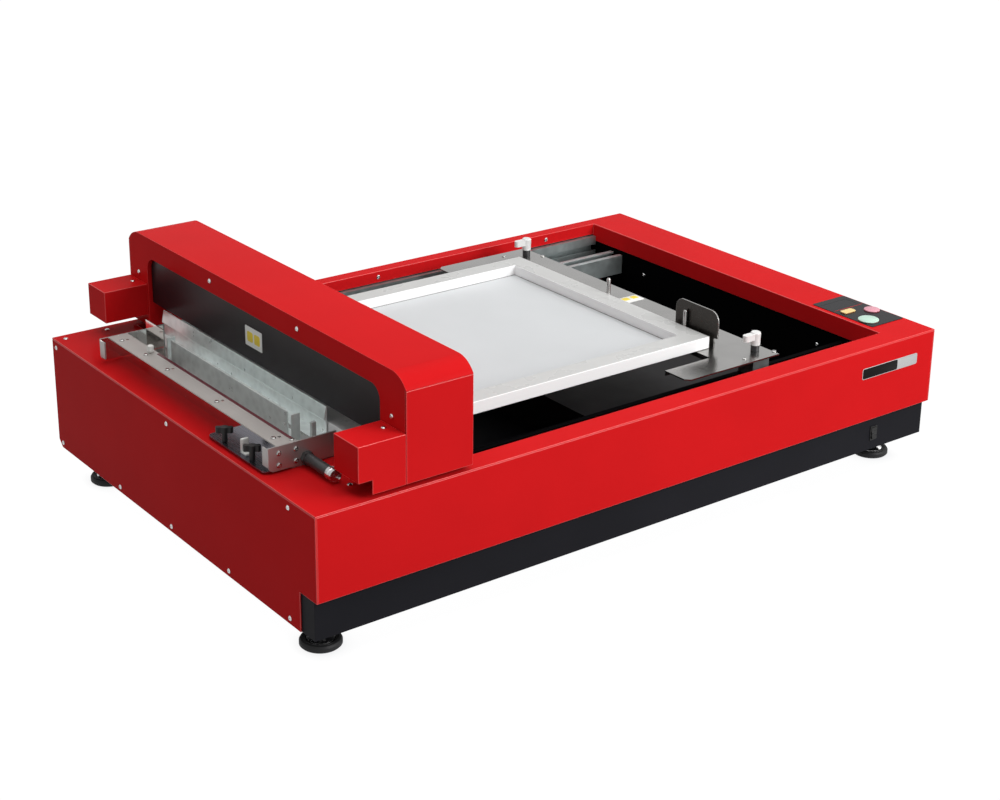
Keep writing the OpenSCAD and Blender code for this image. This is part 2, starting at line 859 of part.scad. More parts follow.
// the opening between the legs, drawn in (y, z), grown by the amount i
module arch_opening(i = 0) {
    translate([-leg_in - i, arch_z - 1]) square([2 * (leg_in + i), opening_top - opening_r - arch_z + 1]);
    translate([-leg_in + opening_r, arch_z - 1])
        square([2 * (leg_in - opening_r), opening_top + i - arch_z + 1]);
    for (y = [-leg_in + opening_r, leg_in - opening_r]) translate([y, opening_top - opening_r])
        circle(opening_r + i);
}

module arch_shell() {
    color(RED) {
        for (x = [arch_left, arch_right - sheet]) plate_x(x, sheet) difference() {
            arch_outline();
            arch_opening();
            for (s = [-1, 1]) translate([s * back - 3, arch_z - 1]) square([6, fold_z - arch_z + 1]);
        }
        plate_x(arch_left, arch_d) difference() {
            arch_outline();
            arch_outline(sheet);
            translate([front - 1, arch_z - 1]) square([body_w + 2, fold_z - arch_z + 1]);
        }
        // hems round the opening, and the inner skins of the legs
        for (x = [arch_left, arch_right - 3 * sheet]) plate_x(x, 3 * sheet) difference() {
            arch_opening(1.5);
            arch_opening();
            translate([-leg_in - 9, arch_z - 2]) square([2 * leg_in + 18, panel_z + 2 - arch_z]);
        }
        both_sides() box([arch_left, leg_in, arch_z], [arch_right, leg_in + 1.5, panel_z]);
    }
}

// a cover plate that closes the outer side of a leg
module leg_cover() {
    box([arch_left, front, arch_z], [arch_right, front + sheet, fold_z - seam]);
    for (x = [arch_left + sheet + seam, arch_right - 2 * sheet - seam])
        box([x, front, arch_z], [x + sheet, front + 14, fold_z - 12]);
}

module arch_front_cover() {
    color(RED) leg_cover();
}

module arch_back_cover() {
    color(RED) mirror([0, 1, 0]) leg_cover();
}

module arch_black_panels() {
    r = opening_r - 3 * 0.8;
    inset = 3.2 * sheet;
    color(BLACK) for (x = [arch_left + inset, arch_right - inset - 1.5]) plate_x(x, 1.5) {
        translate([-leg_in + 0.4, panel_z]) square([2 * leg_in - 0.8, opening_top - opening_r - panel_z]);
        translate([-leg_in + opening_r, panel_z])
            square([2 * (leg_in - opening_r), opening_top - 0.4 - panel_z]);
        for (y = [-leg_in + opening_r, leg_in - opening_r]) translate([y, opening_top - opening_r])
            circle(opening_r - 0.4);
    }
}

// a small box on the left face of a leg; notch is the part cut from its lower left corner
module side_box(low, notch) {
    x0 = arch_left - side_box_l;
    y1 = front + 51.5;
    difference() {
        box([x0, front + 0.5, low], [arch_left - 0.2, y1, side_box_top]);
        box([x0 + sheet, front + 0.5 + sheet, low - 1], [arch_left + 1, y1 - sheet, side_box_top - sheet]);
        if (notch > 0) box([x0 - 1, front - 1, low - 1], [x0 + notch, y1 + 1, side_box_z]);
    }
}

module front_side_box() {
    color(RED) side_box(arch_z - 0.5, 19);
}

module back_side_box() {
    color(RED) mirror([0, 1, 0]) side_box(side_box_z, 0);
}

module gantry_arms() {
    color(ZINC) {
        both_sides() plate_y(arm_in, arm_t) {
            translate([arch_left + 8, arm_z]) square([arch_d - 16, arch_z + 4 - arm_z]);
            translate([arch_left + 14, arm_z]) square([arch_d - 28, opening_top - 2 - arm_z]);
        }
        // jaws that grip the upper run of the belt
        for (z = [belt_z + pulley_r - slide_gap - 4, belt_z + pulley_r + 2 * slide_gap + belt_t])
            box([arch_left + 35, arm_out, z], [arch_left + 60, belt_y + belt_w + 1, z + 4]);
    }
}

module glide_blocks() {
    head_y0 = guide_in + guide_wall + slide_gap;
    head_y1 = guide_in + guide_w - guide_wall - slide_gap;
    color(WHITE) both_sides() for (x = [arch_left + 12, arch_right - 34]) plate_x(x, 22) {
        translate([arm_out, slot_z - slot_w / 2 + slide_gap])
            square([head_y0 - arm_out + 1, slot_w - 2 * slide_gap]);
        translate([head_y0, guide_z + guide_wall + slide_gap])
            square([head_y1 - head_y0, guide_h - 2 * guide_wall - 2 * slide_gap]);
    }
}

module upper_beam() {
    x0 = arch_left + 17;
    color(ZINC) {
        difference() {
            box([x0, -arm_in, opening_top - 32], [x0 + 20, arm_in, opening_top - 2]);
            box([x0 + sheet, -arm_in - 1, opening_top - 30],
                [x0 + 20 - sheet, arm_in + 1, opening_top - 4]);
        }
        // bushes for the guide rods
        both_sides() difference() {
            box([x0 + 20, rod_y - 10, opening_top - 32], [rod_x + 8, rod_y + 10, opening_top - 24]);
            translate([rod_x, rod_y, opening_top - 40]) cylinder(r = 4 + fit, h = 60);
        }
        // bearings for the lift shaft
        both_sides() difference() {
            box([x0 + 20, bearing_y - 2, shaft_z - 6], [shaft_x + 6, bearing_y + 2, shaft_z + 8]);
            translate([shaft_x, bearing_y, shaft_z]) rotate([90, 0, 0])
                cylinder(r = 3 + fit, h = 20, center = true);
        }
        // motor plate
        difference() {
            box([x0 + 20, motor_plate_y, shaft_z - motor_a / 2],
                [shaft_x + motor_a / 2, motor_plate_y + motor_plate_t, shaft_z + motor_a / 2]);
            translate([shaft_x, motor_plate_y, shaft_z]) rotate([90, 0, 0])
                cylinder(r = 6, h = 20, center = true);
        }
    }
}

module lift_motor() {
    color(DARK) difference() {
        translate([shaft_x, motor_plate_y + motor_plate_t + lift_motor_l, shaft_z]) rotate([90, 0, 0])
            linear_extrude(lift_motor_l)
                round_rect([-motor_a / 2, -motor_a / 2], [motor_a / 2, motor_a / 2], 4);
        translate([shaft_x, motor_plate_y, shaft_z]) rotate([-90, 0, 0]) cylinder(r = 3 + fit, h = 20);
    }
}

module lower_beam() {
    color(ZINC) difference() {
        box([head_x - 30, -arm_in, arm_z], [head_x + 30, arm_in, beam_z]);
        box([head_x - 30 + sheet, -arm_in - 1, arm_z - 1],
            [head_x + 30 - sheet, arm_in + 1, beam_z - sheet]);
    }
}

module thermal_head() {
    half = cheek_y - 2;
    fin_pitch = 6;
    top = screen_z + mesh_lift - 0.4;
    color(STEEL) difference() {
        box([head_x - 14, -half, beam_z], [head_x + 14, half, screen_z - 6]);
        for (i = [0 : 7]) for (x = [-15, 5])
            box([head_x + x, -half - 1, beam_z + 8 + i * fin_pitch],
                [head_x + x + 10, half + 1, beam_z + 11 + i * fin_pitch]);
    }
    color(WHITE) box([head_x - 6, -half, screen_z - 6], [head_x + 6, half, top]);
}

module arch_screws() {
    color(STEEL) for (side = [-1, 1]) {
        x = side < 0 ? arch_left : arch_right;
        for (p = [[back - 29, opening_top - 28], [109, (opening_top + arch_top) / 2 + 1.5]]) for (s = [-1, 1]) {
            screw([x, s * p[0], p[1]], [side, 0, 0]);
        }
    }
    color(STEEL) both_sides() screw([arch_left - 11, front + 29.8, side_box_top]);
}

// platen lift

module rack_teeth(n) {
    pitch = PI * gear_m;
    for (i = [0 : n - 1]) translate([0, i * pitch]) polygon([[0, 0], [-gear_m, 0.30 * pitch * 0.5],
        [-gear_m, 0.30 * pitch * 0.5 + 0.2 * pitch], [0, 0.48 * pitch], [1.2 * gear_m, 0.48 * pitch + 0.3],
        [1.2 * gear_m, -0.3]]);
}

module platen_yoke() {
    pitch = PI * gear_m;
    rack_z0 = shaft_z - 1.75 * pitch;
    teeth = floor((platen_drop + 10) / pitch);
    gap = 0.3;
    color(ZINC) {
        box([platen_x - 15, -cheek_y, yoke_z], [platen_x + 15, cheek_y, yoke_z + yoke_t]);
        both_sides() difference() {
            box([platen_x - platen_r, cheek_y - 3, platen_z - 7], [platen_x + platen_r, cheek_y, yoke_z]);
            translate([platen_x, cheek_y, platen_z]) rotate([90, 0, 0])
                cylinder(r = 4 + fit, h = 20, center = true);
        }
        both_sides() {
            translate([0, rack_y + 4, 0]) rotate([90, 0, 0]) linear_extrude(8) {
                translate([rack_x + 1.2 * gear_m + gap, yoke_z + 1])
                    square([5, rack_z0 + teeth * pitch - yoke_z]);
                translate([rack_x + gap, rack_z0]) rack_teeth(teeth);
            }
            translate([rod_x, rod_y, yoke_z + 1]) cylinder(r = 4, h = arch_top - 7 - yoke_z);
        }
    }
}

module platen_roller() {
    half = cheek_y - 4.5;
    color(DARK) translate([platen_x, 0, platen_z]) rotate([90, 0, 0]) {
        cylinder(r = platen_r, h = 2 * half, center = true);
        cylinder(r = 4, h = 2 * cheek_y + 1, center = true);
    }
}

module pinion_outline() {
    root = pinion_pitch_r - 1.2 * gear_m;
    tip = pinion_pitch_r + gear_m - 0.1;
    step = 360 / pinion_teeth;
    circle(root);
    for (i = [0 : pinion_teeth - 1]) rotate(i * step) polygon([
        [root * 0.9, -0.8 * gear_m], [pinion_pitch_r, -0.68 * gear_m], [tip, -0.34 * gear_m],
        [tip, 0.34 * gear_m], [pinion_pitch_r, 0.68 * gear_m], [root * 0.9, 0.8 * gear_m]]);
}

module lift_pinions() {
    color(STEEL) translate([shaft_x, 0, shaft_z]) {
        rotate([90, 0, 0]) translate([0, 0, -motor_plate_y - 15])
            cylinder(r = 3, h = motor_plate_y + 15 + bearing_y + 6);
        for (y = [rack_y, -rack_y]) translate([0, y + 3.5, 0]) rotate([90, 0, 0])
            linear_extrude(7) pinion_outline();
    }
}

// clamp plate at the right

module clamp_plate() {
    half = plate_w / 2;
    inner = half - finger_w;
    tip = plate_left - finger_l;
    color(STEEL) {
        difference() {
            translate([0, 0, under_deck]) linear_extrude(sheet) difference() {
                translate([tip, -half]) square([plate_right - tip, plate_w]);
                translate([tip - 1, -inner]) square([plate_left - tip + 1, 2 * inner]);
                for (s = [-1, 1]) translate([tip, s * half]) rotate(45 * s) square([9, 9], center = true);
            }
            both_sides() translate([lever_x, lever_y, under_deck - 1])
                cylinder(r = 4 + fit, h = sheet + 2);
        }
        // folded edges along the fingers and the inner side
        both_sides() box([tip, inner, under_deck - 5], [plate_left + 1.6, inner + 1.6, under_deck]);
        box([plate_left, -inner, under_deck - 5], [plate_left + 1.6, inner, under_deck]);
        both_sides() {
            for (p = [[36, 14], [88, 10], [86, 49]])
                screw([plate_left + p[0], -half + p[1], deck_z]);
        }
    }
}

module clamp_carriers() {
    color(ZINC) both_sides() difference() {
        union() {
            box([lever_x - 15, support_in + 1, support_top + slide_gap],
                [lever_x + 15, support_in + support_w - 1, under_deck]);
            box([lever_x - 15, support_in + 8.5, support_z + guide_wall + 4],
                [lever_x + 15, support_in + support_w - 8.5, support_top + slide_gap]);
        }
        translate([lever_x, lever_y, support_top - 12])
            cylinder(r = 4 + fit, h = 90);
    }
}

module frame_stops() {
    tab_y = -222;
    color(STEEL) {
        for (y = [5.7, -159.4]) translate([stop_x, y, deck_z]) {
            cylinder(r = pin_r, h = pin_h - 2);
            translate([0, 0, pin_h - 2]) cylinder(r1 = pin_r, r2 = pin_r - 1, h = 2);
        }
        // upright tab with rounded upper corners
        plate_x(tab_x, 2) translate([tab_y, deck_z]) {
            r = 15;
            translate([7, 0]) square([9, tab_h - r]);
            translate([0, 14]) square([tab_l, tab_h - 14 - r]);
            translate([r, tab_h - r - 1]) square([tab_l - 2 * r, r + 1]);
            for (y = [r, tab_l - r]) translate([y, tab_h - r]) circle(r);
            translate([18, 0]) square([tab_l - 18, 15]);
        }
        box([tab_x + 2, tab_y + 18, deck_z], [tab_x + 14, tab_y + tab_l, deck_z + 2]);
    }
}

// a clamp lever on a stud that turns in its carrier
module clamp_lever(y) {
    translate([lever_x, y, 0]) {
        color(DARK) {
            translate([0, 0, support_top - 10]) cylinder(r = 4, h = deck_z - support_top + 14);
            translate([0, 0, deck_z + slide_gap]) cylinder(r = 6, h = 9 - slide_gap);
        }
        color(WHITE) {
            translate([0, 0, deck_z + 9]) cylinder(r1 = 6.8, r2 = 7.2, h = 17);
            translate([0, 0, deck_z + 26]) cylinder(r1 = 7.2, r2 = 6, h = 1.6);
            translate([-18, -4.5, deck_z + 17]) cube([18, 9, 9]);
            translate([-18, 0, deck_z + 17]) cylinder(r = 4.5, h = 9);
        }
    }
}

module front_clamp_lever() {
    clamp_lever(-lever_y);
}

module back_clamp_lever() {
    clamp_lever(lever_y);
}

// screen frame

module screen_rails() {
    half = screen_w / 2;
    color(WHITE) difference() {
        box([screen_left, -half, screen_z], [screen_right, half, screen_top]);
        box([screen_left + screen_end, -half + screen_side, screen_z - 1],
            [screen_right - screen_end, half - screen_side, screen_top + 1]);
    }
}

module screen_mesh() {
    half = screen_w / 2;
    color([0.85, 0.87, 0.89]) box([screen_left + screen_end, -half + screen_side, screen_z + mesh_lift],
        [screen_right - screen_end, half - screen_side, screen_z + mesh_lift + mesh_t]);
}

base_frame();
front_panel();
back_panel();
left_end_panel();
right_end_panel();
top_cover();
well_lining();
electronics_cover();
guide_rails();
support_rails();
rail_brackets();
foot_pads();
foot_studs();
switch_bezel();
power_rocker();
power_inlet();
control_overlay();
start_button();
stop_button();
select_button();
cover_screws();
drive_motor();
drive_pulley();
idler_pulley();
drive_belt();
power_supply();
control_board();
holder_tray();
clamp_strip();
holder_walls();
holder_fittings();
knob_spacer();
thumb_knob_front();
thumb_knob_back();
white_knob();
plunger_body();
plunger_pin();
arch_shell();
arch_front_cover();
arch_back_cover();
arch_black_panels();
front_side_box();
back_side_box();
gantry_arms();
glide_blocks();
upper_beam();
lower_beam();
thermal_head();
arch_screws();
lift_motor();
platen_yoke();
platen_roller();
lift_pinions();
clamp_plate();
clamp_carriers();
frame_stops();
front_clamp_lever();
back_clamp_lever();
screen_rails();
screen_mesh();
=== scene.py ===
"""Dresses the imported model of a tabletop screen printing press.

The solids stay where the frame puts them. Rounded edges, paint, metal, plastic and rubber are
added, a few thin plates that are only there to be seen, and a studio with the photograph's camera.
All lengths are in metres.
"""

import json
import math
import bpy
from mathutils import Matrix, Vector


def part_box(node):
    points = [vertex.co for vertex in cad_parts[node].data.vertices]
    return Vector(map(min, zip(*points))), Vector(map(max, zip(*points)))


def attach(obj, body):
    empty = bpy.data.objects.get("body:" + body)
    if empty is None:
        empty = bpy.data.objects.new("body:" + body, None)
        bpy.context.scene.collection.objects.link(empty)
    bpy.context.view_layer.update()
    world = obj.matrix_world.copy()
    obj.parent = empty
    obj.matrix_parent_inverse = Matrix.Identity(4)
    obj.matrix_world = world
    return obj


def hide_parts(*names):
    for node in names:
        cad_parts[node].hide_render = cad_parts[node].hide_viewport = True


bl_info = {
    "name": "Screen Printing Press",
    "version": (1, 0, 0),
    "blender": (4, 5, 0),
    "location": "View3D > Sidebar > Press",
    "description": "Finishes the flatbed press and sets up its studio",
    "category": "Object",
}

import bmesh
import bpy
from bpy.props import FloatProperty, FloatVectorProperty, PointerProperty
from mathutils import Matrix, Vector

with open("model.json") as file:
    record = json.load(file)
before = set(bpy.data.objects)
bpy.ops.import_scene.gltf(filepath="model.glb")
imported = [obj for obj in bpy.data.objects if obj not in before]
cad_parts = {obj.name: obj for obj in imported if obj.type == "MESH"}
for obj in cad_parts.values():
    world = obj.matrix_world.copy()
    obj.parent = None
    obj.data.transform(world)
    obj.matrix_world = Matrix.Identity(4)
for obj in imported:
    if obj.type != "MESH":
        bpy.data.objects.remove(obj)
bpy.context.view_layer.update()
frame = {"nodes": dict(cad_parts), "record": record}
NODES = frame["nodes"]
BODY_OF = {n: b for b, ns in frame["record"]["behaviour"]["bodies"].items() for n in ns}

RIGHT = (1, 0, 0)
BACK = (0, 1, 0)
FRONT = (0, -1, 0)
UP = (0, 0, 1)

# the camera that was fitted to the press's edges in the photograph
CAMERA_AT = (-1.4870, -1.9514, 1.1256)
CAMERA_RIGHT = (0.79793, -0.60264, 0.01184)
CAMERA_UP = (0.19331, 0.27445, 0.94197)
SENSOR_WIDTH_MM = 36.0
FOCAL_LENGTH_MM = 67.433
LENS_SHIFT = -0.1
VIEW_END = 50.0

# name, place, aim, side of the square, watts
LAMPS = (
    ("top_lamp", (0.1, 0.0, 2.6), (0.0, 0.0, 0.1), 3.4, 49.0),
    ("front_lamp", (1.2, -2.8, 1.6), (0.1, -0.2, 0.1), 1.8, 92.0),
    ("left_lamp", (-2.7, -0.4, 1.9), (-0.4, 0.0, 0.2), 1.6, 4.0),
    ("right_lamp", (2.8, 0.2, 1.7), (0.1, 0.0, 0.15), 1.6, 10.0),
)

# strengths of the pale surroundings: as light, in reflections and as the picture's ground
WORLD_LIGHT = 0.28
WORLD_MIRRORED = 0.75
WORLD_SEEN = 1.03
FLOOR_GREY = 0.30
FLOOR_MIRRORED = 0.8
FLOOR_SEEN = 1.03
FLOOR_HALF = 3.0
FLOOR_DROP = 0.0002
CONTACT_SHADOW = (0.78, 0.78, 0.79)
CONTACT_REACH = 0.05
CONTACT_SAMPLES = 24

# cleaning the solids' meshes before their edges are rounded
WELD_DISTANCE = 2e-6
FLAT_ANGLE = math.radians(0.4)
SOLID_EDGE_ANGLE = math.radians(32)

# thin plates
CORNER_STEPS = 6
PLATE_EDGE_SHARE = 0.35
PLATE_EDGE_ANGLE = math.radians(50)
PLATE_SMOOTH_ANGLE = math.radians(40)
PATCH_THICKNESS = 0.0001
LABEL_RADIUS = 0.001

# the bare notice on the arch's panel: the patches' rise and height are shares of its height
NOTICE_Y = 0.031
NOTICE_RISE = 0.019
NOTICE_PATCH_IN = 0.005
NOTICE_PATCH_STEP = 0.0175
NOTICE_PATCH_WIDTH = 0.0145
NOTICE_PATCH_RADIUS = 0.003
NOTICE_PATCH_RISE = 0.24
NOTICE_PATCH_HEIGHT = 0.52

# the bare tag on the clamp plate
TAG_X = 0.2300
TAG_Y = -0.0085
TAG_PATCH_AT = (0.0015, 0.009)
TAG_PATCH_STEP = 0.016
TAG_PATCH_SIZE = (0.0115, 0.0105)
TAG_PATCH_RADIUS = 0.002

# a face looks along an axis if its normal reaches this far along it
FACING = 0.9
TAB_FACING = 0.95
TOP_FACING = 0.8
END_FACING = 0.5

# where finishes change on the frame holder, from the clamp strip's right edge or the tray's back
FACE_NEAR = 0.0012
TRAY_WEB_IN = 0.0072
TRAY_END_IN = 0.0025
UPRIGHT_OUT = 0.0148
# the next three bound the fittings' part below the knob spacer that is painted as shade
BRACKET_FRONT = -0.2176
BRACKET_BACK = -0.08
BRACKET_REACH = 0.0002
# the next three place and shape a thin dark red strip on top of the clamp strip
DARK_LINE_START = 0.008
DARK_LINE_THICKNESS = 0.0005
DARK_LINE_RADIUS = 0.0008
WING_TURN = math.radians(-70)

# where finishes change on the clamp plate's stops and levers
# the next two pick the stop tab's broad faces, which carry a painted reflection
TAB_IN = 0.0141
TAB_NEAR = 0.0022
LEVER_HEAD = 0.0186

# the screen's glue line, the front badge and the control panel's stripe
SEAM_THICKNESS = 0.0003
SEAM_RADIUS = 0.0004
BADGE_X = 0.369
BADGE_Z = 0.158
BADGE_RADIUS = 0.003
BADGE_DARK_LENGTH = 0.070
BADGE_RIM = 0.0009
INLAY_THICKNESS = 0.0002
INLAY_RADIUS = 0.0024
STRIPE_INSET = 0.004
STRIPE_FROM_BACK = 0.0415
STRIPE_WIDTH = 0.0011
STRIPE_RADIUS = 0.0004


def length(name, text, default, low=0.0, high=1.0):
    return FloatProperty(
        name=name, description=text, default=default, min=low, max=high, unit="LENGTH", precision=5
    )


def colour(name, text, default):
    return FloatVectorProperty(
        name=name, description=text, default=default, min=0.0, max=1.0, size=3, subtype="COLOR"
    )


class PressSizes(bpy.types.PropertyGroup):
    """Sizes of the rounded edges and of the plates that are fixed to the press"""

    sheet_edge: length("Sheet edge", "Radius of the painted sheet's edges", 0.0008, 0.0001, 0.002)
    frame_edge: length("Frame edge", "Radius of the screen frame's edges", 0.0012, 0.0001, 0.003)
    metal_edge: length("Metal edge", "Radius of the bare sheet's edges", 0.0003, 0.0001, 0.001)
    fitting_edge: length("Fitting edge", "Radius on the holder's fittings", 0.0002, 0.0001, 0.001)
    thumb_edge: length("Thumb knob edge", "Radius on the black thumb knobs", 0.0005, 0.0001, 0.001)
    knob_edge: length("White knob edge", "Radius on the white knob", 0.0006, 0.0001, 0.001)
    plunger_edge: length("Plunger edge", "Radius on the plunger's body", 0.0004, 0.0001, 0.001)
    lever_edge: length("Lever edge", "Radius on the clamp levers", 0.0008, 0.0001, 0.002)
    overlay_edge: length("Overlay edge", "Radius of the control film", 0.0001, 0.00005, 0.0005)
    key_edge: length("Key edge", "Radius on the control keys", 0.0004, 0.0001, 0.001)
    switch_edge: length("Switch edge", "Radius on the switch and inlet", 0.0003, 0.0001, 0.001)
    badge_length: length("Badge length", "Length of the front plate", 0.112, 0.05, 0.2)
    badge_height: length("Badge height", "Height of the front plate", 0.0165, 0.008, 0.04)
    notice_width: length("Notice width", "Width of the arch's bare plate", 0.042, 0.02, 0.08)
    notice_height: length("Notice height", "Height of the arch's bare plate", 0.0265, 0.01, 0.05)
    tag_width: length("Tag width", "Width of the clamp plate's bare tag", 0.0315, 0.02, 0.06)
    tag_height: length("Tag height", "Height of the clamp plate's bare tag", 0.0215, 0.01, 0.04)
    tag_thickness: length("Tag thickness", "Thickness of that tag", 0.0003, 0.0001, 0.001)
    # the next two size a thin dark red strip along the clamp strip's right edge
    dark_line_width: length("Seal width", "Width of the clamp strip's red seal", 0.0042, 0.001, 0.007)
    dark_line_length: length("Seal length", "Length of that seal", 0.335, 0.1, 0.42)
    seam_width: length("Seam width", "Width of the glue line round the mesh", 0.0012, 0.0005, 0.003)
    plate_thickness: length("Plate thickness", "Of the badge and the notice", 0.0006, 0.0002, 0.002)


class PressColours(bpy.types.PropertyGroup):
    """Colours of the paints, metals, plastics and rubbers"""

    red: colour("Red paint", "Gloss paint of the body and the arch", (0.60, 0.011, 0.013))
    # the lighter red below is painted on the bevelled edges as a highlight
    red_edge_highlight: colour("Red paint edges", "Thinner paint on the body's edges", (0.72, 0.045, 0.045))
    black: colour("Black paint", "Satin paint of the base", (0.013, 0.013, 0.016))
    well: colour("Well black", "Flat paint inside the well", (0.0016, 0.0016, 0.0018))
    panel: colour("Arch panel", "Paint of the arch's inner panels", (0.015, 0.010, 0.012))
    grey: colour("Grey cover", "Paint of the cover on the well's floor", (0.022, 0.022, 0.023))
    motor: colour("Motor enamel", "Paint of the two motors", (0.015, 0.015, 0.016))
    steel: colour("Stainless steel", "Tint of the clamp plate", (0.41, 0.405, 0.395))
    strip: colour("Clamp strip", "Tint of the satin clamp strip", (0.42, 0.40, 0.38))
    tray: colour("Holder tray", "Tint of the polished holder tray", (0.84, 0.82, 0.80))
    # the darker steel below is painted on the fittings below the knob spacer as shade and dark
    # reflection
    bracket: colour("Bracket steel", "Tint of the dark knob bracket", (0.20, 0.20, 0.24))
    zinc: colour("Zinc", "Tint of the zinc coated sheet", (0.40, 0.45, 0.45))
    # the bright tint below is the walls' zinc lightened as a painted reflection of bright
    # surroundings
    wall_zinc: colour("Wall zinc", "Tint of the bright holder walls", (0.84, 0.89, 0.88))
    aluminium: colour("Aluminium", "Tint of the head and the yoke", (0.66, 0.67, 0.68))
    cut_steel: colour("Cut steel", "Tint of the pinions and pulleys", (0.58, 0.58, 0.58))
    plating: colour("Bright plating", "Tint of screws and studs", (0.68, 0.68, 0.68))
    pin: colour("Plunger pin", "Tint of the plunger's pin", (0.62, 0.62, 0.62))
    plunger: colour("Plunger body", "Black of the plunger's body", (0.035, 0.035, 0.036))
    # the near-black tint below goes on the stop tab's broad faces only, as a painted reflection;
    # its edges stay bright steel
    smoke: colour("Stop tab", "Dark tint of the upright stop tab", (0.055, 0.050, 0.046))
    frame_side: colour("Frame sides", "White sides of the screen frame", (0.90, 0.90, 0.90))
    # the grey below goes on the white frame's top faces only, as a painted reflection
    frame_top: colour("Frame top", "Pale grey top of the screen frame", (0.54, 0.54, 0.53))
    mesh: colour("Mesh", "Colour of the stretched mesh", (0.56, 0.575, 0.585))
    glue: colour("Glue line", "Grey of the glue round the mesh", (0.20, 0.20, 0.20))
    glide: colour("Glide blocks", "White of the glide blocks", (0.72, 0.72, 0.70))
    roller: colour("Platen roller", "Black of the platen roller", (0.020, 0.020, 0.022))
    belt: colour("Toothed belt", "Black of the drive belt", (0.015, 0.015, 0.015))
    board: colour("Control board", "Green of the control board", (0.01, 0.10, 0.04))
    # the dark red below is a thin strip laid along the clamp strip's right edge
    seal: colour("Seal", "Dark red of the seal on the clamp strip", (0.10, 0.012, 0.020))
    thumb: colour("Thumb knobs", "Black of the two thumb knobs", (0.012, 0.012, 0.012))
    knob: colour("White knob", "White of the knob and its spacer", (0.78, 0.78, 0.75))
    lever: colour("Lever", "White of the clamp levers", (0.74, 0.74, 0.73))
    lever_foot: colour("Lever foot", "Black foot of the clamp levers", (0.02, 0.02, 0.022))
    overlay: colour("Control film", "Black of the control panel's film", (0.010, 0.010, 0.012))
    stripe: colour("Film stripe", "Red stripe on that film", (0.42, 0.008, 0.010))
    start: colour("Start key", "Colour of the start key", (0.48, 0.68, 0.57))
    stop: colour("Stop key", "Colour of the stop key", (0.72, 0.32, 0.39))
    select: colour("Select key", "Colour of the select key", (0.78, 0.58, 0.24))
    switch: colour("Switch", "Black of the switch and the inlet", (0.014, 0.014, 0.014))
    badge_dark: colour("Badge inlay", "Dark part of the front plate", (0.008, 0.008, 0.008))
    badge_pale: colour("Badge plate", "Pale part of the front plate", (0.70, 0.70, 0.70))
    notice: colour("Notice plates", "White of the bare plates", (0.86, 0.86, 0.83))
    patch: colour("Notice patches", "Yellow on the bare plates", (0.86, 0.66, 0.05))
    foot: colour("Foot rubber", "Black of the foot pads", (0.016, 0.016, 0.017))


def sizes():
    return bpy.context.scene.press_sizes


def tone(name):
    return tuple(getattr(bpy.context.scene.press_colours, name))


# materials


def material(name):
    """A new material, its tree and its surface shader."""
    made = bpy.data.materials.new(name)
    made.use_nodes = True
    tree = made.node_tree
    return made, tree, tree.nodes["Principled BSDF"]


def link(tree, a, a_out, b, b_in):
    tree.links.new(a.outputs[a_out], b.inputs[b_in])


def place(tree, stretch=(1.0, 1.0, 1.0)):
    """Coordinates in metres on the press, stretched for brushed or drawn surfaces."""
    coords = tree.nodes.new("ShaderNodeTexCoord")
    mapping = tree.nodes.new("ShaderNodeMapping")
    mapping.inputs["Scale"].default_value = stretch
    link(tree, coords, "Object", mapping, "Vector")
    return mapping


def noise(tree, where, scale, detail=3.0, rough=0.5):
    made = tree.nodes.new("ShaderNodeTexNoise")
    made.inputs["Scale"].default_value = scale
    made.inputs["Detail"].default_value = detail
    made.inputs["Roughness"].default_value = rough
    link(tree, where, "Vector", made, "Vector")
    return made


def spread(tree, source, out, low, high, start=0.3, end=0.7):
    """Maps a texture's value onto a range."""
    made = tree.nodes.new("ShaderNodeMapRange")
    made.inputs["From Min"].default_value = start
    made.inputs["From Max"].default_value = end
    made.inputs["To Min"].default_value = low
    made.inputs["To Max"].default_value = high
    link(tree, source, out, made, "Value")
    return made


def tint(tree, source, out, dark, light, start=0.35, end=0.65):
    """A colour that drifts between two tones with a texture."""
    made = tree.nodes.new("ShaderNodeValToRGB")
    made.color_ramp.elements[0].position = start
    made.color_ramp.elements[0].color = (*dark, 1.0)
    made.color_ramp.elements[1].position = end
    made.color_ramp.elements[1].color = (*light, 1.0)
    link(tree, source, out, made, "Fac")
    return made


def coat(tree, shader, source, out, dark, light, start=0.35, end=0.65):
    """Gives a surface its drifting colour."""
    link(tree, tint(tree, source, out, dark, light, start, end), "Color", shader, "Base Color")


def wear(tree, shader, source, low, high):
    """Lets a surface's roughness drift with a noise."""
    link(tree, spread(tree, source, "Fac", low, high), "Result", shader, "Roughness")


def bump(tree, shader, source, out, strength, distance):
    made = tree.nodes.new("ShaderNodeBump")
    made.inputs["Strength"].default_value = strength
    made.inputs["Distance"].default_value = distance
    link(tree, source, out, made, "Height")
    link(tree, made, "Normal", shader, "Normal")


def scaled(base, factor):
    return tuple(min(1.0, c * factor) for c in base)


def painted_sheet(name, base, rough=0.24, peel=0.02, shine=0.008, drift=0.03):
    """Powder coat: an even colour, a faint orange peel and handling marks in the gloss."""
    made, tree, shader = material(name)
    where = place(tree)
    broad = noise(tree, where, scale=7.0, detail=2.0)
    smears = noise(tree, where, scale=22.0, detail=4.0)
    grain = noise(tree, where, scale=480.0, detail=2.0)
    coat(tree, shader, broad, "Fac", scaled(base, 1.0 - drift), scaled(base, 1.0 + drift))
    wear(tree, shader, smears, rough * 0.92, rough * 1.1)
    bump(tree, shader, grain, "Fac", peel, 0.0001)
    shader.inputs["Specular IOR Level"].default_value = shine
    return made


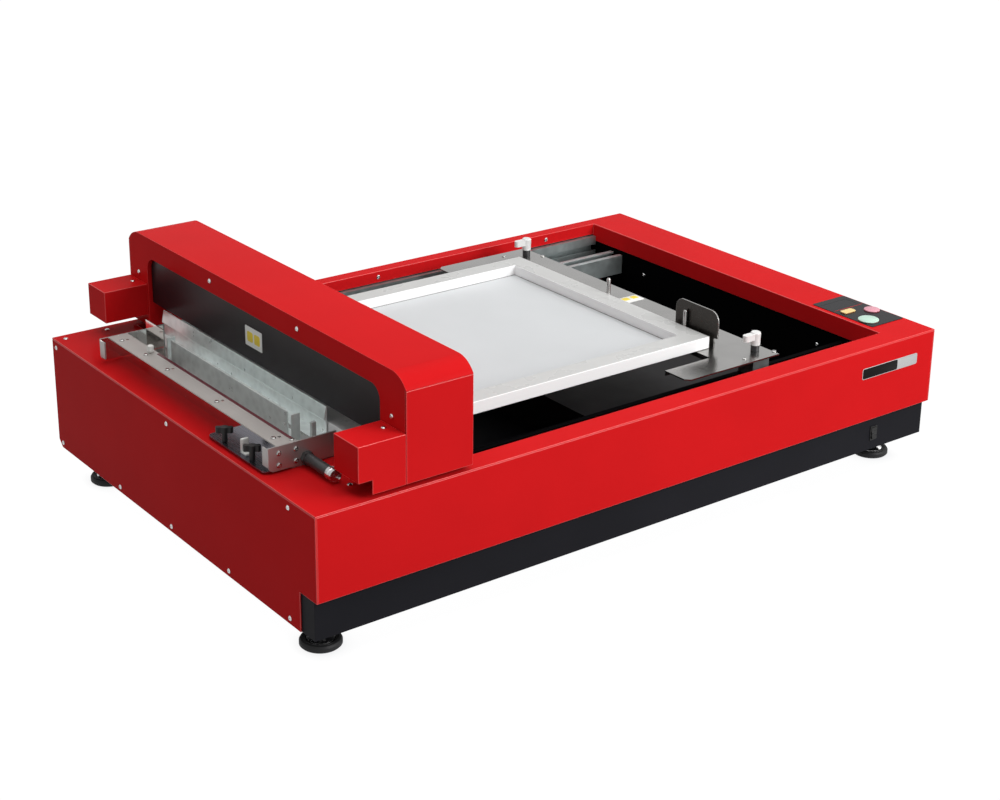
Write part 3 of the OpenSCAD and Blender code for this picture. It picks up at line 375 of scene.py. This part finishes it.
def brushed_metal(name, base, rough=0.22, along="Y", grain=0.02, metal=1.0):
    """Bare sheet with fine lines along one direction."""
    made, tree, shader = material(name)
    stretch = [4.0 if axis == along else 700.0 for axis in "XYZ"]
    lines = noise(tree, place(tree, stretch), scale=1.0, rough=0.6)
    broad = noise(tree, place(tree), scale=14.0)
    coat(tree, shader, broad, "Fac", scaled(base, 0.93), scaled(base, 1.05))
    wear(tree, shader, lines, rough * 0.88, rough * 1.15)
    bump(tree, shader, lines, "Fac", grain, 0.0001)
    shader.inputs["Metallic"].default_value = metal
    return made


def zinc_sheet(name, base, rough=0.42, metal=0.85):
    """Zinc coat with soft spangles."""
    made, tree, shader = material(name)
    where = place(tree)
    cells = tree.nodes.new("ShaderNodeTexVoronoi")
    cells.inputs["Scale"].default_value = 90.0
    link(tree, where, "Vector", cells, "Vector")
    cloud = noise(tree, where, scale=60.0, detail=4.0)
    grain = noise(tree, where, scale=900.0, detail=2.0)
    coat(tree, shader, cells, "Distance", scaled(base, 0.92), scaled(base, 1.06), 0.1, 0.7)
    wear(tree, shader, cloud, rough * 0.8, rough * 1.2)
    bump(tree, shader, grain, "Fac", 0.04, 0.0002)
    shader.inputs["Metallic"].default_value = metal
    return made


def polished_metal(name, base, rough=0.1):
    """Bright metal with fine wiping marks."""
    made, tree, shader = material(name)
    marks = noise(tree, place(tree), scale=240.0, detail=4.0, rough=0.7)
    coat(tree, shader, marks, "Fac", scaled(base, 0.95), base)
    wear(tree, shader, marks, rough * 0.7, rough * 1.5)
    bump(tree, shader, marks, "Fac", 0.02, 0.0001)
    shader.inputs["Metallic"].default_value = 1.0
    return made


def moulded(name, base, rough=0.4, grain=0.08, scale=1100.0, shine=0.3):
    """Moulded plastic or rubber with a fine texture from the tool."""
    made, tree, shader = material(name)
    where = place(tree)
    cloud = noise(tree, where, scale=45.0)
    texture = noise(tree, where, scale, detail=2.0)
    coat(tree, shader, cloud, "Fac", scaled(base, 0.92), scaled(base, 1.06))
    wear(tree, shader, cloud, rough * 0.9, rough * 1.12)
    bump(tree, shader, texture, "Fac", grain, 0.0003)
    shader.inputs["Specular IOR Level"].default_value = shine
    return made


def woven_mesh(name, base):
    """Stretched screen fabric: two crossing sets of threads, a little sheen and faint marks."""
    made, tree, shader = material(name)
    where = place(tree)
    both = tree.nodes.new("ShaderNodeMath")
    both.operation = "MULTIPLY"
    for i, direction in enumerate("XY"):
        threads = tree.nodes.new("ShaderNodeTexWave")
        threads.bands_direction = direction
        threads.inputs["Scale"].default_value = 420.0
        threads.inputs["Distortion"].default_value = 0.15
        link(tree, where, "Vector", threads, "Vector")
        link(tree, threads, "Fac", both, i)
    broad = noise(tree, where, scale=4.0)
    coat(tree, shader, broad, "Fac", scaled(base, 0.95), scaled(base, 1.05))
    bump(tree, shader, both, "Value", 0.10, 0.0001)
    shader.inputs["Roughness"].default_value = 0.45
    shader.inputs["Sheen Weight"].default_value = 0.2
    return made


def two_tone(name, low, high, level):
    """Two plastics on one moulding, parted at a height."""
    made, tree, shader = material(name)
    where = place(tree)
    parts = tree.nodes.new("ShaderNodeSeparateXYZ")
    link(tree, where, "Vector", parts, "Vector")
    step = spread(tree, parts, "Z", 0.0, 1.0, level - 0.0001, level + 0.0001)
    texture = noise(tree, where, scale=900.0, detail=2.0)
    coat(tree, shader, step, "Result", low, high, 0.4, 0.6)
    bump(tree, shader, texture, "Fac", 0.05, 0.0002)
    shader.inputs["Roughness"].default_value = 0.34
    return made


def by_ray(tree, light, mirrored, seen):
    """Joins three shaders: one that lights, one for reflections, one for the picture's ground."""
    path = tree.nodes.new("ShaderNodeLightPath")
    shown = light
    for ray, other in (("Is Glossy Ray", mirrored), ("Is Camera Ray", seen)):
        mix = tree.nodes.new("ShaderNodeMixShader")
        link(tree, path, ray, mix, "Fac")
        link(tree, shown, 0, mix, 1)
        link(tree, other, 0, mix, 2)
        shown = mix
    return shown


# meshes


def join_scene(name, data):
    made = bpy.data.objects.new(name, data)
    bpy.context.scene.collection.objects.link(made)
    return made


def baked(piece):
    """Applies a piece's modifiers."""
    bpy.context.view_layer.update()
    graph = bpy.context.evaluated_depsgraph_get()
    mesh = bpy.data.meshes.new_from_object(piece.evaluated_get(graph))
    old = piece.data
    piece.modifiers.clear()
    piece.data = mesh
    bpy.data.meshes.remove(old)


def bevelled(piece, width, segments, angle):
    edge = piece.modifiers.new("edges", "BEVEL")
    edge.width = width
    edge.segments = segments
    edge.limit_method = "ANGLE"
    edge.angle_limit = angle
    return edge


def rounded(node, width, finish, segments=2, edge_highlight_finish=None):
    """A copy of a node's solid that stands for it, with rounded edges; a second finish, where
    given, goes on the bevels as a painted highlight.
    """
    mesh = NODES[node].data.copy()
    mesh.name = node + "_rounded"
    work = bmesh.new()
    work.from_mesh(mesh)
    bmesh.ops.remove_doubles(work, verts=work.verts, dist=WELD_DISTANCE)
    bmesh.ops.dissolve_limit(work, angle_limit=FLAT_ANGLE, verts=work.verts, edges=work.edges)
    work.to_mesh(mesh)
    work.free()
    piece = join_scene(node + "_rounded", mesh)
    for name in [a.name for a in mesh.attributes if a.name.startswith("custom_normal")]:
        mesh.attributes.remove(mesh.attributes[name])
    mesh.materials.clear()
    mesh.materials.append(finish)
    edge = bevelled(piece, width, segments, SOLID_EDGE_ANGLE)
    edge.miter_outer = "MITER_ARC"
    edge.harden_normals = True
    # the bevels take the second finish: a lighter red there is a painted highlight
    if edge_highlight_finish is not None:
        mesh.materials.append(edge_highlight_finish)
        edge.material = 1
    for face in mesh.polygons:
        face.use_smooth = True
    baked(piece)
    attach(piece, BODY_OF[node])
    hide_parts(node)
    return piece


def repaint(piece, finish, test):
    """Puts a second finish on the faces that pass a test of their centre and normal."""
    piece.data.materials.append(finish)
    index = len(piece.data.materials) - 1
    for face in piece.data.polygons:
        if test(face.center, face.normal):
            face.material_index = index


def dress(finish, *nodes):
    """A new finish on CAD nodes whose shape is right."""
    for node in nodes:
        piece = NODES[node]
        if not piece.material_slots:
            piece.data.materials.append(finish)
        for held in piece.material_slots:
            held.material = finish


def plate(name, corner, across, up, size, thickness, radius, finish, body):
    """A thin plate with round corners. corner is its lower left one, seen from outside."""
    corner = Vector(corner)
    across = Vector(across)
    up = Vector(up)
    width, height = size
    outline = []
    for cx, cy, quarter in (
        (width - radius, height - radius, 0),
        (radius, height - radius, 1),
        (radius, radius, 2),
        (width - radius, radius, 3),
    ):
        for i in range(CORNER_STEPS + 1):
            a = math.pi / 2 * (quarter + i / CORNER_STEPS)
            outline.append((cx + radius * math.cos(a), cy + radius * math.sin(a)))
    work = bmesh.new()
    face = work.faces.new([work.verts.new(corner + across * x + up * y) for x, y in outline])
    made = bmesh.ops.extrude_face_region(work, geom=[face])
    verts = [v for v in made["geom"] if isinstance(v, bmesh.types.BMVert)]
    bmesh.ops.translate(work, verts=verts, vec=across.cross(up) * thickness)
    bmesh.ops.recalc_face_normals(work, faces=work.faces)
    mesh = bpy.data.meshes.new(name)
    work.to_mesh(mesh)
    work.free()
    piece = join_scene(name, mesh)
    bevelled(piece, thickness * PLATE_EDGE_SHARE, 2, PLATE_EDGE_ANGLE)
    baked(piece)
    piece.data.materials.append(finish)
    for face in piece.data.polygons:
        face.use_smooth = True
    piece.data.set_sharp_from_angle(angle=PLATE_SMOOTH_ANGLE)
    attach(piece, body)


def bare_label(
    name, patch_name, corner, across, up, size, thickness,
    patch_at, patch_step, patch_size, patch_radius, body,
):
    """A white plate with two plain yellow patches, whose first lies at patch_at on the plate."""
    white = bpy.data.materials["notice_white"]
    yellow = bpy.data.materials["notice_yellow"]
    corner = Vector(corner)
    across = Vector(across)
    up = Vector(up)
    face = corner + across.cross(up) * thickness
    plate(name, corner, across, up, size, thickness, LABEL_RADIUS, white, body)
    for i in range(2):
        at = face + across * (patch_at[0] + i * patch_step) + up * patch_at[1]
        plate(
            f"{patch_name}_{i}", at, across, up, patch_size,
            PATCH_THICKNESS, patch_radius, yellow, body,
        )


# operators


class PRESS_OT_studio(bpy.types.Operator):
    """Sets up the camera, the pale floor and the soft lamps"""

    bl_idname = "press.studio"
    bl_label = "Studio"

    def execute(self, context):
        scene = context.scene
        scene.view_settings.view_transform = "Standard"
        self.camera(scene)
        self.floor()
        self.world(scene)
        for name, at, towards, side, watts in LAMPS:
            self.lamp(name, Vector(at), Vector(towards), side, watts)
        return {"FINISHED"}

    def camera(self, scene):
        lens = bpy.data.cameras.new("photo_camera")
        lens.sensor_width = SENSOR_WIDTH_MM
        lens.lens = FOCAL_LENGTH_MM
        lens.shift_y = LENS_SHIFT
        lens.clip_end = VIEW_END
        camera = join_scene("photo_camera", lens)
        right = Vector(CAMERA_RIGHT)
        up = Vector(CAMERA_UP)
        turn = Matrix((right, up, right.cross(up))).transposed().to_4x4()
        camera.matrix_world = Matrix.Translation(CAMERA_AT) @ turn
        scene.camera = camera

    def floor(self):
        square = ((-1, -1), (1, -1), (1, 1), (-1, 1))
        corners = [(x * FLOOR_HALF, y * FLOOR_HALF, 0) for x, y in square]
        mesh = bpy.data.meshes.new("floor")
        mesh.from_pydata(corners, [], [(0, 1, 2, 3)])
        floor = join_scene("floor", mesh)
        floor.location.z = -FLOOR_DROP
        made, tree, shader = material("floor_paper")
        tree.nodes.remove(shader)
        near = tree.nodes.new("ShaderNodeAmbientOcclusion")
        near.inputs["Distance"].default_value = CONTACT_REACH
        near.samples = CONTACT_SAMPLES
        shade = tint(tree, near, "AO", CONTACT_SHADOW, (1.0, 1.0, 1.0), 0.0, 0.8)
        seen = tree.nodes.new("ShaderNodeEmission")
        seen.inputs["Strength"].default_value = FLOOR_SEEN
        link(tree, shade, "Color", seen, "Color")
        light = tree.nodes.new("ShaderNodeBsdfDiffuse")
        light.inputs["Color"].default_value = (FLOOR_GREY, FLOOR_GREY, FLOOR_GREY, 1.0)
        mirrored = tree.nodes.new("ShaderNodeEmission")
        mirrored.inputs["Strength"].default_value = FLOOR_MIRRORED
        end = tree.nodes["Material Output"]
        link(tree, by_ray(tree, light, mirrored, seen), "Shader", end, "Surface")
        mesh.materials.append(made)

    def world(self, scene):
        world = bpy.data.worlds.new("studio")
        world.use_nodes = True
        scene.world = world
        tree = world.node_tree
        grounds = [tree.nodes["Background"]]
        grounds += [tree.nodes.new("ShaderNodeBackground") for _ in range(2)]
        for ground, strength in zip(grounds, (WORLD_LIGHT, WORLD_MIRRORED, WORLD_SEEN)):
            ground.inputs["Color"].default_value = (1.0, 1.0, 1.0, 1.0)
            ground.inputs["Strength"].default_value = strength
        link(tree, by_ray(tree, *grounds), "Shader", tree.nodes["World Output"], "Surface")

    def lamp(self, name, at, towards, side, watts):
        light = bpy.data.lights.new(name, "AREA")
        light.shape = "SQUARE"
        light.size = side
        light.energy = watts
        made = join_scene(name, light)
        made.location = at
        made.rotation_euler = (towards - at).to_track_quat("-Z", "Y").to_euler()


class PRESS_OT_body(bpy.types.Operator):
    """Paints the body's panels, the base and the well"""

    bl_idname = "press.body"
    bl_label = "Body"

    def execute(self, context):
        s = sizes()
        red = painted_sheet("red_powder_coat", tone("red"))
        # the lighter, shinier red on the bevelled edges is a painted highlight
        edges = painted_sheet("red_paint_edge", tone("red_edge_highlight"), rough=0.34, peel=0.01, shine=0.5)
        for node in ("top_cover", "front_panel", "back_panel", "left_end_panel", "right_end_panel"):
            rounded(node, s.sheet_edge, red, edge_highlight_finish=edges)
        black = painted_sheet("black_paint", tone("black"), 0.45, peel=0.03, shine=0.04, drift=0.08)
        well = painted_sheet("well_paint", tone("well"), rough=0.6, shine=0.01, drift=0.1)
        grey = painted_sheet("grey_paint", tone("grey"), rough=0.55, peel=0.03, shine=0.15)
        rounded("base_frame", s.metal_edge, black)
        rounded("well_lining", s.metal_edge, well)
        rounded("electronics_cover", s.metal_edge, grey)
        return {"FINISHED"}


class PRESS_OT_arch(bpy.types.Operator):
    """Paints the travelling arch, its covers and its inner panels"""

    bl_idname = "press.arch"
    bl_label = "Arch"

    def execute(self, context):
        s = sizes()
        red = bpy.data.materials["red_powder_coat"]
        # the arch's bevelled edges get the same painted highlight
        edges = bpy.data.materials["red_paint_edge"]
        for node in (
            "arch_shell", "arch_front_cover", "arch_back_cover", "front_side_box", "back_side_box",
        ):
            rounded(node, s.sheet_edge, red, edge_highlight_finish=edges)
        panel = painted_sheet("panel_paint", tone("panel"), rough=0.35, shine=0.22, drift=0.1)
        rounded("arch_black_panels", s.metal_edge, panel)
        painted_sheet("notice_white", tone("notice"), rough=0.4, peel=0.01, shine=0.3, drift=0.02)
        painted_sheet("notice_yellow", tone("patch"), rough=0.4, peel=0.01, shine=0.3)
        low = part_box("arch_black_panels")[0]
        rise = s.notice_height * NOTICE_PATCH_RISE
        tall = s.notice_height * NOTICE_PATCH_HEIGHT
        bare_label(
            "notice_plate", "notice_patch", (low.x, NOTICE_Y, low.z + NOTICE_RISE), FRONT, UP,
            (s.notice_width, s.notice_height), s.plate_thickness,
            (NOTICE_PATCH_IN, rise), NOTICE_PATCH_STEP, (NOTICE_PATCH_WIDTH, tall),
            NOTICE_PATCH_RADIUS, "gantry",
        )
        return {"FINISHED"}


class PRESS_OT_gantry_parts(bpy.types.Operator):
    """Finishes the beams, arms, head and platen inside the arch"""

    bl_idname = "press.gantry_parts"
    bl_label = "Gantry parts"

    def execute(self, context):
        dress(zinc_sheet("zinc_coat", tone("zinc")), "gantry_arms", "upper_beam", "lower_beam")
        aluminium = brushed_metal("extruded_aluminium", tone("aluminium"), rough=0.36, grain=0.08)
        dress(aluminium, "thermal_head", "platen_yoke")
        dress(moulded("glide_plastic", tone("glide"), rough=0.45), "glide_blocks")
        dress(moulded("platen_rubber", tone("roller"), rough=0.6, grain=0.15), "platen_roller")
        dress(polished_metal("cut_steel", tone("cut_steel"), rough=0.25), "lift_pinions")
        enamel = painted_sheet("motor_enamel", tone("motor"), 0.4, peel=0.03, shine=0.4, drift=0.1)
        dress(enamel, "lift_motor", "drive_motor")
        return {"FINISHED"}


class PRESS_OT_rails_and_drive(bpy.types.Operator):
    """Finishes the rails, the belt, the pulleys and what lies under the cover"""

    bl_idname = "press.rails_and_drive"
    bl_label = "Rails and drive"

    def execute(self, context):
        zinc = bpy.data.materials["zinc_coat"]
        dress(zinc, "guide_rails", "rail_brackets")
        supports = rounded("support_rails", sizes().metal_edge, zinc)
        # the support rails' front half, where y < 0, takes the near-black well paint and sinks into
        # the dark of the well
        repaint(supports, bpy.data.materials["well_paint"], lambda c, n: c.y < 0)
        dress(bpy.data.materials["cut_steel"], "drive_pulley", "idler_pulley")
        belt = moulded("toothed_belt_rubber", tone("belt"), rough=0.7, grain=0.3, scale=400.0)
        dress(belt, "drive_belt")
        dress(bpy.data.materials["extruded_aluminium"], "power_supply")
        board = moulded("board_lacquer", tone("board"), rough=0.3, grain=0.05, scale=300.0)
        dress(board, "control_board")
        return {"FINISHED"}


class PRESS_OT_holder(bpy.types.Operator):
    """Finishes the frame holder with its strip, walls, knobs and plunger"""

    bl_idname = "press.holder"
    bl_label = "Frame holder"

    def execute(self, context):
        s = sizes()
        low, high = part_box("clamp_strip")
        polished = polished_metal("bright_tray", tone("tray"), rough=0.07)
        self.tray(s, polished, high.x - TRAY_WEB_IN)
        strip = brushed_metal("satin_strip", tone("strip"), rough=0.5, metal=0.5)
        rounded("clamp_strip", s.metal_edge, strip)
        # the walls' zinc is lightened as a painted reflection
        walls = zinc_sheet("wall_zinc", tone("wall_zinc"), rough=0.34, metal=0.6)
        rounded("holder_walls", s.metal_edge, walls)
        self.fittings(s, polished, high.x + UPRIGHT_OUT)
        # a thin dark red strip along the clamp strip's right edge, on its top
        seal = moulded("seal_rubber", tone("seal"), rough=0.35, grain=0.05)
        start = (high.x - s.dark_line_width, low.y + DARK_LINE_START, high.z)
        plate(
            "strip_seal", start, RIGHT, BACK, (s.dark_line_width, s.dark_line_length),
            DARK_LINE_THICKNESS, DARK_LINE_RADIUS, seal, "machine",
        )
        self.knobs(s)
        dress(polished_metal("plunger_steel", tone("pin"), rough=0.18), "plunger_pin")
        black = painted_sheet("plunger_black", tone("plunger"), rough=0.35, shine=0.5)
        rounded("plunger_body", s.plunger_edge, black)
        return {"FINISHED"}

    def tray(self, s, polished, web):
        """A satin tray with a polished web and a polished inner face of its back end plate."""
        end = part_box("holder_tray")[1].y - TRAY_END_IN
        satin = brushed_metal("satin_plate", tone("steel"), rough=0.42, along="X", metal=0.8)
        holder = rounded("holder_tray", s.metal_edge, satin)

        def shines(c, n):
            on_web = abs(c.x - web) < FACE_NEAR and abs(n.x) > FACING
            return on_web or (c.y > end and n.y < -END_FACING)

        repaint(holder, polished, shines)

    def fittings(self, s, polished, upright):
        """Bright fittings, painted darker below the knob spacer as shade and dark reflection, with
        a polished upright plate.
        """
        bright = brushed_metal("bright_sheet", tone("steel"))
        bracket = brushed_metal("dark_bracket", tone("bracket"), rough=0.26)
        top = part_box("knob_spacer")[0].z + BRACKET_REACH
        held = rounded("holder_fittings", s.fitting_edge, bright)
        # painted shade: the fittings darker below the knob spacer
        repaint(held, bracket, lambda c, n: c.z < top and BRACKET_FRONT < c.y < BRACKET_BACK)
        repaint(held, polished, lambda c, n: abs(c.x - upright) < FACE_NEAR and abs(n.x) > FACING)

    def knobs(self, s):
        """Two thumb knobs, with their wings turned as in the photograph, and the white knob."""
        black = moulded("black_knob", tone("thumb"), rough=0.38)
        for node in ("thumb_knob_front", "thumb_knob_back"):
            knob = rounded(node, s.thumb_edge, black)
            low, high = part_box(node)
            middle = Vector(((low.x + high.x) / 2, (low.y + high.y) / 2, 0.0))
            turn = Matrix.Rotation(WING_TURN, 4, "Z")
            knob.data.transform(Matrix.Translation(middle) @ turn @ Matrix.Translation(-middle))
        white = moulded("white_knob_plastic", tone("knob"))
        for node in ("knob_spacer", "white_knob"):
            rounded(node, s.knob_edge, white)


class PRESS_OT_clamp_plate(bpy.types.Operator):
    """Finishes the clamp plate, its carriers, stops and levers"""

    bl_idname = "press.clamp_plate"
    bl_label = "Clamp plate"

    def execute(self, context):
        s = sizes()
        bright = bpy.data.materials["bright_sheet"]
        rounded("clamp_plate", s.metal_edge, bright)
        stops = rounded("frame_stops", s.metal_edge, bright)
        # the stop tab's broad faces take near-black metal as a painted reflection
        smoke = polished_metal("smoked_tab", tone("smoke"), rough=0.3)
        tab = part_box("frame_stops")[1].x - TAB_IN
        repaint(stops, smoke, lambda c, n: abs(c.x - tab) < TAB_NEAR and abs(n.x) > TAB_FACING)
        dress(bpy.data.materials["zinc_coat"], "clamp_carriers")
        part_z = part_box("front_clamp_lever")[1].z - LEVER_HEAD
        lever = two_tone("lever_plastic", tone("lever_foot"), tone("lever"), part_z)
        for node in ("front_clamp_lever", "back_clamp_lever"):
            rounded(node, s.lever_edge, lever, segments=3)
        bare_label(
            "plate_tag", "tag_patch", (TAG_X, TAG_Y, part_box("top_cover")[1].z), RIGHT, BACK,
            (s.tag_width, s.tag_height), s.tag_thickness,
            TAG_PATCH_AT, TAG_PATCH_STEP, TAG_PATCH_SIZE, TAG_PATCH_RADIUS, "right_clamp",
        )
        return {"FINISHED"}


class PRESS_OT_screen(bpy.types.Operator):
    """Finishes the screen frame and its mesh"""

    bl_idname = "press.screen"
    bl_label = "Screen frame"

    def execute(self, context):
        s = sizes()
        side = painted_sheet(
            "frame_side_paint", tone("frame_side"), rough=0.4, peel=0.01, shine=0.2, drift=0.01
        )
        top = painted_sheet(
            "frame_top_paint", tone("frame_top"), rough=0.28, peel=0.01, shine=0.25, drift=0.02
        )
        rails = rounded("screen_rails", s.frame_edge, side, segments=3)
        # the top faces take the grey as a painted reflection; the sides keep the white
        repaint(rails, top, lambda c, n: n.z > TOP_FACING)
        dress(woven_mesh("screen_fabric", tone("mesh")), "screen_mesh")
        glue = painted_sheet("seam_glue", tone("glue"), rough=0.5, peel=0.01, shine=0.2)
        low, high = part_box("screen_mesh")
        wide = s.seam_width
        for name, at, size in (
            ("front", (low.x, low.y), (high.x - low.x, wide)),
            ("back", (low.x, high.y - wide), (high.x - low.x, wide)),
            ("left", (low.x, low.y), (wide, high.y - low.y)),
            ("right", (high.x - wide, low.y), (wide, high.y - low.y)),
        ):
            plate(
                "seam_" + name, (*at, high.z), RIGHT, BACK, size,
                SEAM_THICKNESS, SEAM_RADIUS, glue, "screen_frame",
            )
        return {"FINISHED"}


class PRESS_OT_controls(bpy.types.Operator):
    """Finishes the control panel, its keys, the switch and the inlet"""

    bl_idname = "press.controls"
    bl_label = "Controls"

    def execute(self, context):
        s = sizes()
        film = moulded("overlay_film", tone("overlay"), rough=0.22, grain=0.02, shine=0.1)
        rounded("control_overlay", s.overlay_edge, film)
        for name in ("start", "stop", "select"):
            key = moulded(name + "_key_plastic", tone(name), rough=0.3, grain=0.03)
            rounded(name + "_button", s.key_edge, key)
        black = moulded("switch_plastic", tone("switch"), rough=0.32)
        for node in ("switch_bezel", "power_rocker", "power_inlet"):
            rounded(node, s.switch_edge, black)
        self.badge(s)
        low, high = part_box("control_overlay")
        red = painted_sheet("overlay_stripe_red", tone("stripe"), rough=0.4, peel=0.01, shine=0.05)
        start = (low.x + STRIPE_INSET, high.y - STRIPE_FROM_BACK, high.z)
        reach = high.x - low.x - 2 * STRIPE_INSET
        plate(
            "overlay_stripe", start, RIGHT, BACK, (reach, STRIPE_WIDTH),
            PATCH_THICKNESS, STRIPE_RADIUS, red, "machine",
        )
        return {"FINISHED"}

    def badge(self, s):
        """The bare front plate: pale, with a dark inlay over its left part."""
        pale = brushed_metal("badge_silver", tone("badge_pale"), rough=0.3, along="X", grain=0.05)
        dark = painted_sheet(
            "badge_black", tone("badge_dark"), rough=0.3, peel=0.01, shine=0.06, drift=0.05
        )
        corner = Vector((BADGE_X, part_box("front_panel")[0].y, BADGE_Z))
        plate(
            "badge_plate", corner, RIGHT, UP, (s.badge_length, s.badge_height),
            s.plate_thickness, BADGE_RADIUS, pale, "machine",
        )
        plate(
            "badge_inlay", corner + Vector((BADGE_RIM, -s.plate_thickness, BADGE_RIM)), RIGHT, UP,
            (BADGE_DARK_LENGTH, s.badge_height - 2 * BADGE_RIM),
            INLAY_THICKNESS, INLAY_RADIUS, dark, "machine",
        )


class PRESS_OT_feet_and_screws(bpy.types.Operator):
    """Finishes the levelling feet and the screws"""

    bl_idname = "press.feet_and_screws"
    bl_label = "Feet and screws"

    def execute(self, context):
        dress(moulded("foot_pad_rubber", tone("foot"), rough=0.6, grain=0.2), "foot_pads")
        plating = polished_metal("bright_plating", tone("plating"), rough=0.14)
        dress(plating, "foot_studs", "cover_screws", "arch_screws")
        return {"FINISHED"}


OPERATORS = (
    PRESS_OT_studio,
    PRESS_OT_body,
    PRESS_OT_arch,
    PRESS_OT_gantry_parts,
    PRESS_OT_rails_and_drive,
    PRESS_OT_holder,
    PRESS_OT_clamp_plate,
    PRESS_OT_screen,
    PRESS_OT_controls,
    PRESS_OT_feet_and_screws,
)


class PRESS_PT_parts(bpy.types.Panel):
    """Lists the press's pieces, sizes and colours"""

    bl_idname = "PRESS_PT_parts"
    bl_label = "Screen Printing Press"
    bl_space_type = "VIEW_3D"
    bl_region_type = "UI"
    bl_category = "Press"

    def draw(self, context):
        layout = self.layout
        for group in (context.scene.press_sizes, context.scene.press_colours):
            box = layout.box()
            for name in group.__annotations__:
                box.prop(group, name)
        for operator in OPERATORS:
            layout.operator(operator.bl_idname)


CLASSES = (PressSizes, PressColours, *OPERATORS, PRESS_PT_parts)


def register():
    for made in CLASSES:
        bpy.utils.register_class(made)
    bpy.types.Scene.press_sizes = PointerProperty(type=PressSizes)
    bpy.types.Scene.press_colours = PointerProperty(type=PressColours)


def unregister():
    del bpy.types.Scene.press_colours
    del bpy.types.Scene.press_sizes
    for made in reversed(CLASSES):
        bpy.utils.unregister_class(made)


def main():
    register()
    bpy.ops.press.studio()
    bpy.ops.press.body()
    bpy.ops.press.arch()
    bpy.ops.press.gantry_parts()
    bpy.ops.press.rails_and_drive()
    bpy.ops.press.holder()
    bpy.ops.press.clamp_plate()
    bpy.ops.press.screen()
    bpy.ops.press.controls()
    bpy.ops.press.feet_and_screws()


if __name__ == "__main__":
    main()
